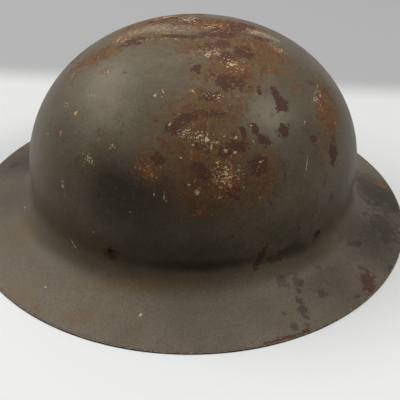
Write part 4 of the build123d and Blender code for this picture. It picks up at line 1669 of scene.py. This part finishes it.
@dataclass
class Strap:
    """Leather strap swept along its path, folded back over a bar at one end or at both."""

    width: float = 16.0 * MM
    thickness: float = 2.0 * MM
    edge_round: float = 0.5 * MM
    bar_gap: float = 1.38 * MM
    layer_gap: float = 0.15 * MM
    ramp: float = 7.0 * MM
    bend_radius: float = 130.0 * MM
    bend_deg: float = 14.0
    tip_round: float = 6.0 * MM
    stitch_in: float = 2.2 * MM
    stitch_pitch: float = 3.4 * MM
    stitch_length: float = 2.2 * MM
    stitch_radius: float = 0.3 * MM
    upper_steps: int = 12
    ramp_steps: int = 8
    turn_steps: int = 16
    lower_steps: int = 14
    bend_steps: int = 22
    run_steps: int = 60
    corner_steps: int = 5

    def fold(self, length: float) -> list[tuple[float, float]]:
        """Work out the side view of a fold about a bar at the origin.

        Args:
            length: How far the fold's layers run from the bar.

        Returns:
            Its middle line, from the upper layer's end round the bar to the lower layer's end.
        """
        reach = self.bar_gap + self.thickness / 2
        upper = -self.bar_gap + self.layer_gap + self.thickness / 2
        made = [(x, upper) for x in np.linspace(length, self.ramp, self.upper_steps, endpoint=False)]
        for share in np.linspace(0, 1, self.ramp_steps, endpoint=False):
            ease = share * share * (3 - 2 * share)
            made.append((self.ramp * (1 - share), upper + (reach - upper) * ease))
        for turn in np.linspace(math.pi / 2, 3 * math.pi / 2, self.turn_steps, endpoint=False):
            made.append((reach * math.cos(turn), reach * math.sin(turn)))
        made += [(x, -reach) for x in np.linspace(0, length, self.lower_steps)]
        return made

    def sweep(self, name: str, places: np.ndarray, sides: np.ndarray, halves: np.ndarray,
              material: Material) -> Object:
        """Sweep the strap's rounded section along its path.

        Args:
            name: Name of the piece.
            places: Points of the path.
            sides: Side direction at each point.
            halves: Half width at each point.
            material: Finish of the strap.

        Returns:
            The strap, closed at both ends.
        """
        ways = np.gradient(places, axis=0)
        ways /= np.linalg.norm(ways, axis=1, keepdims=True)
        ups = np.cross(ways, sides)
        corner, half_thick = self.edge_round, self.thickness / 2
        section = []
        for quarter, (x_sign, y_sign) in enumerate(((1, 1), (-1, 1), (-1, -1), (1, -1))):
            for turn in np.linspace(0, math.pi / 2, self.corner_steps) + quarter * math.pi / 2:
                section.append((x_sign, y_sign, math.cos(turn) * corner, math.sin(turn) * corner))
        points = []
        for place, side, up, half in zip(places, sides, ups, halves):
            for x_sign, y_sign, x, y in section:
                points.append(place + side * (x_sign * (half - corner) + x)
                              + up * (y_sign * (half_thick - corner) + y))
        count = len(section)
        faces = ring_faces(len(places), count)
        last = (len(places) - 1) * count
        faces += [list(range(count))[::-1], list(range(last, last + count))]
        return mesh_object(name, np.array(points), faces, [material])

    def lay_out(self, bar: Vector, way: Vector, fold: float, run: float,
                far_fold: float | None) -> tuple[np.ndarray, np.ndarray]:
        """Lay out the path of the strap.

        Args:
            bar: Middle of the bar that it is folded over.
            way: Direction that it leaves the bar in.
            fold: Length of the fold over the bar.
            run: Length of the straight stretch beyond the bend.
            far_fold: Length of the fold at its other end, or None where that end is plain.

        Returns:
            Points of the path, and the side direction at each.
        """
        across = UP.cross(way)
        places = [bar + way * x + UP * z for x, z in self.fold(fold)]
        sides = [across] * len(places)
        start, turn_end = places[-1], math.radians(self.bend_deg)
        centre = start - across * self.bend_radius
        for turn in np.linspace(0, turn_end, self.bend_steps)[1:]:
            spin = Matrix.Rotation(-turn, 3, "Z")
            places.append(centre + spin @ (across * self.bend_radius))
            sides.append(spin @ across)
        spin = Matrix.Rotation(-turn_end, 3, "Z")
        far_way, far_across, start = spin @ way, spin @ across, places[-1]
        for x in np.linspace(0, run, self.run_steps)[1:]:
            places.append(start + far_way * x)
            sides.append(far_across)
        if far_fold is not None:
            end = places[-1]
            heel = end + far_way * far_fold + UP * (self.bar_gap + self.thickness / 2)
            for x, z in self.fold(far_fold)[::-1][1:]:
                places.append(heel - far_way * x + UP * z)
                sides.append(far_across)
        return np.array([list(p) for p in places]), np.array([list(s) for s in sides])

    def stitch(self, name: str, places: np.ndarray, sides: np.ndarray, face: float, body: str,
               thread: Material) -> None:
        """Stitch both edges of a stretch of the strap.

        Args:
            name: Name of the stitching.
            places: Points of the stretch.
            sides: Side direction at each point.
            face: 1 for the strap's upper face, -1 for its lower one.
            body: Body that the stitches ride on.
            thread: Finish of the stitches.
        """
        steps = np.linalg.norm(np.diff(places, axis=0), axis=1)
        along = np.concatenate([[0], np.cumsum(steps)])
        wanted = np.arange(self.stitch_pitch, along[-1] - self.stitch_pitch, self.stitch_pitch)
        middle = np.stack([np.interp(wanted, along, places[:, axis]) for axis in range(3)], axis=-1)
        side = np.stack([np.interp(wanted, along, sides[:, axis]) for axis in range(3)], axis=-1)
        side /= np.linalg.norm(side, axis=1, keepdims=True)
        ways = np.cross(side, np.array(UP))
        normals = np.tile(np.array(UP) * face, (len(wanted), 1))
        middle = middle + normals * self.thickness / 2
        for edge in (-1, 1):
            line = middle + side * edge * (self.width / 2 - self.stitch_in)
            row = run_of_stitches(f"{name}_{edge + 1}", line, ways, normals, thread,
                                  self.stitch_length, self.stitch_radius)
            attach(row, body)


@dataclass
class ChinStrap:
    """Both halves of the chin strap."""

    fold: float = 22.0 * MM
    buckle_fold: float = 20.0 * MM
    short_run: float = 26.0 * MM
    ring_wire: float = 2.6 * MM
    hole_radius: float = 1.5 * MM
    hole_pitch: float = 13.0 * MM
    holes: int = 6
    tip_to_hole: float = 18.0 * MM
    slot_width: float = 3.2 * MM
    slot_length: float = 6.0 * MM
    cutter_reach: float = 6.0 * MM
    sharp_deg: float = 40.0
    bare_tip_steps: int = 8
    bare_heel_steps: int = 2

    def bar(self, ring: str) -> Vector:
        """Find the middle of a ring's lower bar."""
        low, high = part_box(ring)
        return Vector(((low.x + high.x) / 2, (low.y + high.y) / 2, low.z + self.ring_wire / 2))

    def build(self, leather: Material, thread: Material) -> None:
        """Make both halves.

        Args:
            leather: Finish of the strap.
            thread: Finish of its stitches.
        """
        strap = Strap()
        self.build_long(strap, leather, thread)
        self.build_short(strap, leather, thread)

    def build_long(self, strap: Strap, leather: Material, thread: Material) -> None:
        """Make the long half, with its rounded tip and the holes for the prong.

        Args:
            strap: Sizes of the strap.
            leather: Finish of the strap.
            thread: Finish of its stitches.
        """
        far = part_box("long_strap")[1].y
        bar = self.bar("strap_ring_right")
        turn = math.radians(strap.bend_deg)
        bent = bar.y + self.fold + strap.bend_radius * math.sin(turn)
        beyond = (strap.width / 2 - strap.tip_round) * math.sin(turn) + strap.tip_round * (1 - math.cos(turn))
        run = (far - bent - beyond) / math.cos(turn)
        places, sides = strap.lay_out(bar, Vector((0, 1, 0)), self.fold, run, None)
        tip, back = Vector(places[-1]), Vector(places[-2] - places[-1]).normalized()
        away = np.linalg.norm(places - places[-1], axis=1)
        near = np.clip(strap.tip_round - away, 0, None)
        halves = strap.width / 2 - strap.tip_round + np.sqrt(np.clip(strap.tip_round**2 - near**2, 0, None))
        halves = np.where(away < strap.tip_round, halves, strap.width / 2)
        piece = strap.sweep("long_strap_leather", places, sides, halves, leather)
        first = tip + UP * self.cutter_reach / 2
        cut_away(piece, [
            rod(f"strap_hole_{n}", first + back * (self.tip_to_hole + self.hole_pitch * n), -UP,
                self.hole_radius, self.cutter_reach)
            for n in range(self.holes)
        ])
        self.finish(piece, "strap_right", "long_strap")
        lower = len(strap.fold(self.fold)) - strap.lower_steps
        under = slice(lower, -self.bare_tip_steps)
        over = slice(lower + strap.lower_steps, -self.bare_tip_steps)
        strap.stitch("long_stitches_low", places[under], sides[under], -1, "strap_right", thread)
        strap.stitch("long_stitches_high", places[over], sides[over], 1, "strap_right", thread)

    def build_short(self, strap: Strap, leather: Material, thread: Material) -> None:
        """Make the short half, folded round the buckle and slotted for its prong.

        Args:
            strap: Sizes of the strap.
            leather: Finish of the strap.
            thread: Finish of its stitches.
        """
        bar = self.bar("strap_ring_left")
        places, sides = strap.lay_out(bar, Vector((0, -1, 0)), self.fold, self.short_run, self.buckle_fold)
        halves = np.full(len(places), strap.width / 2)
        piece = strap.sweep("short_strap_leather", places, sides, halves, leather)
        far_way = Matrix.Rotation(-math.radians(strap.bend_deg), 3, "Z") @ Vector((0, -1, 0))
        far_side = UP.cross(far_way)
        count = len(strap.fold(self.buckle_fold))
        heel = Vector(places[-count]) + far_way * self.buckle_fold
        heel += UP * (strap.bar_gap + strap.thickness / 2)
        low, high = -self.slot_length, self.cutter_reach
        corners = [heel + far_way * x + far_side * y * self.slot_width / 2 + UP * z * self.cutter_reach
                   for z in (-1, 1) for x, y in ((low, -1), (high, -1), (high, 1), (low, 1))]
        faces = ring_faces(2, 4) + [[3, 2, 1, 0], [4, 5, 6, 7]]
        box = mesh_object("prong_slot", np.array([list(c) for c in corners]), faces, [])
        cut_away(piece, [box])
        self.finish(piece, "strap_left", "short_strap")
        lower = len(strap.fold(self.fold)) - strap.lower_steps
        under = slice(lower, len(places) - count + strap.lower_steps - self.bare_heel_steps)
        strap.stitch("short_stitches_low", places[under], sides[under], -1, "strap_left", thread)

    def finish(self, piece: Object, body: str, node: str) -> None:
        """Fasten a strap half to its body and let it stand for its node.

        Args:
            piece: The strap half.
            body: Name of its body.
            node: Name of the node that it replaces.
        """
        piece.data.set_sharp_from_angle(angle=math.radians(self.sharp_deg))
        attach(piece, body)
        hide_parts(node)


@dataclass
class CrownCushion:
    """Moulded rubber ring between the crown plate and the shell."""

    bore: float = 7.0 * MM
    bore_lip: float = 0.5 * MM
    top_lip: float = 0.8 * MM
    foot_in: float = 0.8 * MM
    foot_round: float = 0.1 * MM
    shoulder_round: float = 4.5 * MM
    lip_share: float = 0.06
    foot_share: float = 0.08
    wall_shares: tuple[float, ...] = (0.2, 0.35, 0.5)
    shoulder_share: float = 0.62
    shoulder_steps: int = 9
    around: int = 96

    def build(self, rubber: Material) -> None:
        """Make the ring.

        Args:
            rubber: Finish of the ring.
        """
        low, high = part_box("crown_cushion")
        radius = (high.x - low.x) / 2
        middle = (high.x + low.x) / 2
        height = high.z - low.z
        profile = [(self.bore, self.lip_share), (self.bore + self.bore_lip, 0.0),
                   (radius - self.foot_in, 0.0), (radius - self.foot_round, self.foot_share)]
        profile += [(radius, share) for share in self.wall_shares]
        for turn in np.linspace(0, math.pi / 2, self.shoulder_steps):
            profile.append((radius - self.shoulder_round * (1 - math.cos(turn)),
                            self.shoulder_share + (1 - self.shoulder_share) * math.sin(turn)))
        profile += [(self.bore + self.top_lip, 1.0), (self.bore, 1 - self.lip_share)]
        turns = np.linspace(0, 2 * math.pi, self.around, endpoint=False)
        points = np.concatenate([
            Oval(low.z + share * height, wide, wide, middle).points(turns) for wide, share in profile
        ])
        faces = ring_faces(len(profile) + 1, self.around)
        faces = [[corner % len(points) for corner in face] for face in faces]
        piece = mesh_object("cushion_ring", points, faces, [rubber])
        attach(piece, "helmet")
        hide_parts("crown_cushion")


@dataclass(frozen=True)
class Softbox:
    """Soft lamp over the table, placed by its turn from the far side and its rise."""

    name: str
    azimuth_deg: float
    rise_deg: float
    distance: float
    width: float
    height: float
    power: float

    def build(self) -> None:
        """Make the lamp, aimed at the middle of the table."""
        turn, rise = math.radians(self.azimuth_deg), math.radians(self.rise_deg)
        way = Vector((math.sin(turn) * math.cos(rise), math.cos(turn) * math.cos(rise), math.sin(rise)))
        data = bpy.data.lights.new(self.name, "AREA")
        data.shape = "RECTANGLE"
        data.size = self.width
        data.size_y = self.height
        data.energy = self.power
        lamp = bpy.data.objects.new(self.name, data)
        lamp.location = way * self.distance
        lamp.rotation_euler = way.to_track_quat("Z", "Y").to_euler()
        bpy.context.scene.collection.objects.link(lamp)


@dataclass
class Studio:
    """White table that turns pale grey behind, under a broad soft light with a window on either side."""

    table: str = "#e9eae8"
    table_far: str = "#dbdcda"
    table_behind: str = "#acadac"
    mirrored_share: float = 0.3
    bounce_front: str = "#333332"
    bounce_behind: str = "#b4b5b4"
    far_ramp: Ramp = Ramp(-0.2, 0.16)
    behind_ramp: Ramp = Ramp(0.168, 0.212)
    behind_slant: float = 0.21
    bounce_ramp: Ramp = Ramp(-0.2, 0.15)
    half_size: float = 4.0
    opening_in: float = 0.5 * MM
    around: int = 256
    sky_top: float = 0.25
    sky_low: Ramp = Ramp(-0.5, 0.8, 0.02, 0.52)
    sky_high: Ramp = Ramp(0.0, 0.95)
    sky_below: Ramp = Ramp(-0.5, -0.1, 0.9, 0.0)
    lamps: tuple[Softbox, ...] = (
        Softbox("ceiling", -25, 74, 2.5, 2.9, 2.9, 29.2),
        Softbox("window_left", -65, 43, 1.6, 1.4, 0.6, 11.6),
        Softbox("window_right", 112, 49, 1.6, 0.5, 0.5, 9.0),
    )

    def shown_rays(self, tree: Tree) -> Socket:
        """Tell the rays that see the table from those that only light the helmet.

        Args:
            tree: Node tree of the table.

        Returns:
            1 for the camera's rays, a share for reflections and rays through glass, and 0 for the others.
        """
        rays = add_node(tree, "ShaderNodeLightPath").node
        mirrored = add_node(tree, "ShaderNodeMath", {
            0: rays.outputs["Is Glossy Ray"],
            1: rays.outputs["Is Transmission Ray"],
        }, operation="MAXIMUM")
        mirrored = add_node(tree, "ShaderNodeMath", {0: mirrored, 1: self.mirrored_share},
                            operation="MULTIPLY")
        return add_node(tree, "ShaderNodeMath", {0: rays.outputs["Is Camera Ray"], 1: mirrored},
                        operation="MAXIMUM")

    def make_table(self) -> None:
        """Make the table: near white to the camera, and darker towards the front in what it throws back.

        It has an opening that the brim covers, so that the liner can be seen from under the table.
        """
        material, tree, _ = new_material("table")
        place = add_node(tree, "ShaderNodeTexCoord", output="Object")
        slanted = add_node(tree, "ShaderNodeVectorMath", {0: place, 1: (self.behind_slant, 1.0, 0.0)},
                           output="Value", operation="DOT_PRODUCT")
        behind = add_node(tree, "ShaderNodeMapRange", {0: slanted, **self.behind_ramp.sockets},
                          interpolation_type="SMOOTHSTEP")
        shown = add_node(tree, "ShaderNodeMix", {
            6: linear(self.table),
            7: linear(self.table_far),
            0: add_node(tree, "ShaderNodeMapRange", {0: slanted, **self.far_ramp.sockets},
                        interpolation_type="SMOOTHSTEP"),
        }, output=2, data_type="RGBA")
        shown = add_node(tree, "ShaderNodeMix", {6: shown, 7: linear(self.table_behind), 0: behind},
                         output=2, data_type="RGBA")
        depth = add_node(tree, "ShaderNodeSeparateXYZ", {0: place}, output="Y")
        bounce = add_node(tree, "ShaderNodeMix", {
            6: linear(self.bounce_front),
            7: linear(self.bounce_behind),
            0: add_node(tree, "ShaderNodeMapRange", {0: depth, **self.bounce_ramp.sockets},
                        interpolation_type="SMOOTHSTEP"),
        }, output=2, data_type="RGBA")
        ray = self.shown_rays(tree)
        matte = add_node(tree, "ShaderNodeBsdfDiffuse", {
            "Color": add_node(tree, "ShaderNodeMix", {6: bounce, 7: shown, 0: ray},
                              output=2, data_type="RGBA"),
        })
        add_node(tree, "ShaderNodeOutputMaterial", {"Surface": matte})
        low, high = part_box("shell")
        turns = np.linspace(0, 2 * math.pi, self.around, endpoint=False)
        half_length = (high.x - low.x) / 2 - self.opening_in
        half_width = (high.y - low.y) / 2 - self.opening_in
        points = np.concatenate([Oval(0.0, self.half_size, self.half_size, 0.0).points(turns),
                                 Oval(0.0, half_length, half_width, 0.0).points(turns)])
        mesh_object("table", points, ring_faces(2, self.around), [material])

    def make_sky(self) -> None:
        """Make the world: a room that is bright overhead and behind, and dark in front."""
        world = bpy.data.worlds.new("studio")
        world.use_nodes = True
        tree = world.node_tree
        tree.nodes.clear()
        way = add_node(tree, "ShaderNodeTexCoord", output="Generated")
        rise = add_node(tree, "ShaderNodeSeparateXYZ", {0: way}, output="Z")
        depth = add_node(tree, "ShaderNodeSeparateXYZ", {0: way}, output="Y")
        low = add_node(tree, "ShaderNodeMapRange", {0: depth, **self.sky_low.sockets},
                       interpolation_type="SMOOTHSTEP")
        high = add_node(tree, "ShaderNodeMapRange", {0: rise, **self.sky_high.sockets},
                        interpolation_type="SMOOTHSTEP")
        glow = add_node(tree, "ShaderNodeMix", {0: high, 2: low, 3: self.sky_top})
        glow = add_node(tree, "ShaderNodeMath", {
            0: glow,
            1: add_node(tree, "ShaderNodeMapRange", {0: rise, **self.sky_below.sockets},
                        interpolation_type="SMOOTHSTEP"),
        }, operation="ADD")
        lit = add_node(tree, "ShaderNodeCombineColor", {0: glow, 1: glow, 2: glow})
        ray = add_node(tree, "ShaderNodeLightPath", output="Is Camera Ray")
        background = add_node(tree, "ShaderNodeBackground", {
            "Color": add_node(tree, "ShaderNodeMix", {6: lit, 7: linear(self.table_behind), 0: ray},
                              output=2, data_type="RGBA"),
        })
        add_node(tree, "ShaderNodeOutputWorld", {"Surface": background})
        bpy.context.scene.world = world

    def build(self) -> None:
        """Make the table, the lamps and the world."""
        bpy.context.scene.view_settings.view_transform = "Standard"
        self.make_table()
        self.make_sky()
        for lamp in self.lamps:
            lamp.build()


def dress_nodes() -> dict[str, Material]:
    """Give each CAD node its finish.

    Returns:
        The finishes by slot.
    """
    finishes = {
        "spring_steel": SPRING_STEEL.build(),
        "plated_steel": PLATED_STEEL.build(),
        "rusted_steel": RUSTED_STEEL.build(),
        "vulcanised_fibre": VULCANISED_FIBRE.build(),
        "strap_brass": STRAP_BRASS.build(),
        "grey_rubber": AGED_RUBBER.build(),
        "liner_leather": LINER_LEATHER.build(),
        "strap_leather": STRAP_LEATHER.build(),
        "painted_steel": INNER_PAINT.build(),
    }
    for subpart in frame["record"]["subparts"]:
        node = frame["nodes"][subpart["node"]]
        node.data.materials.clear()
        node.data.materials.append(finishes[subpart["material_slot"]])
    log.info("nodes dressed: %d", len(frame["nodes"]))
    return finishes


def main() -> None:
    """Build the camera, the studio and each sub-assembly in order, and report each piece."""
    logging.basicConfig(level=logging.INFO, format="%(name)s: %(message)s")
    view = PhotoView()
    view.build()
    Studio().build()
    finishes = dress_nodes()
    thread = LINEN_THREAD.build()
    Shell().build(view)
    LeatherCradle().build(finishes["liner_leather"], thread)
    ChinStrap().build(finishes["strap_leather"], thread)
    CrownCushion().build(finishes["grey_rubber"])
    for piece in bpy.context.scene.objects:
        if piece.type == "MESH":
            log.info("%s: %d faces", piece.name, len(piece.data.polygons))


if __name__ == "__main__":
    main()
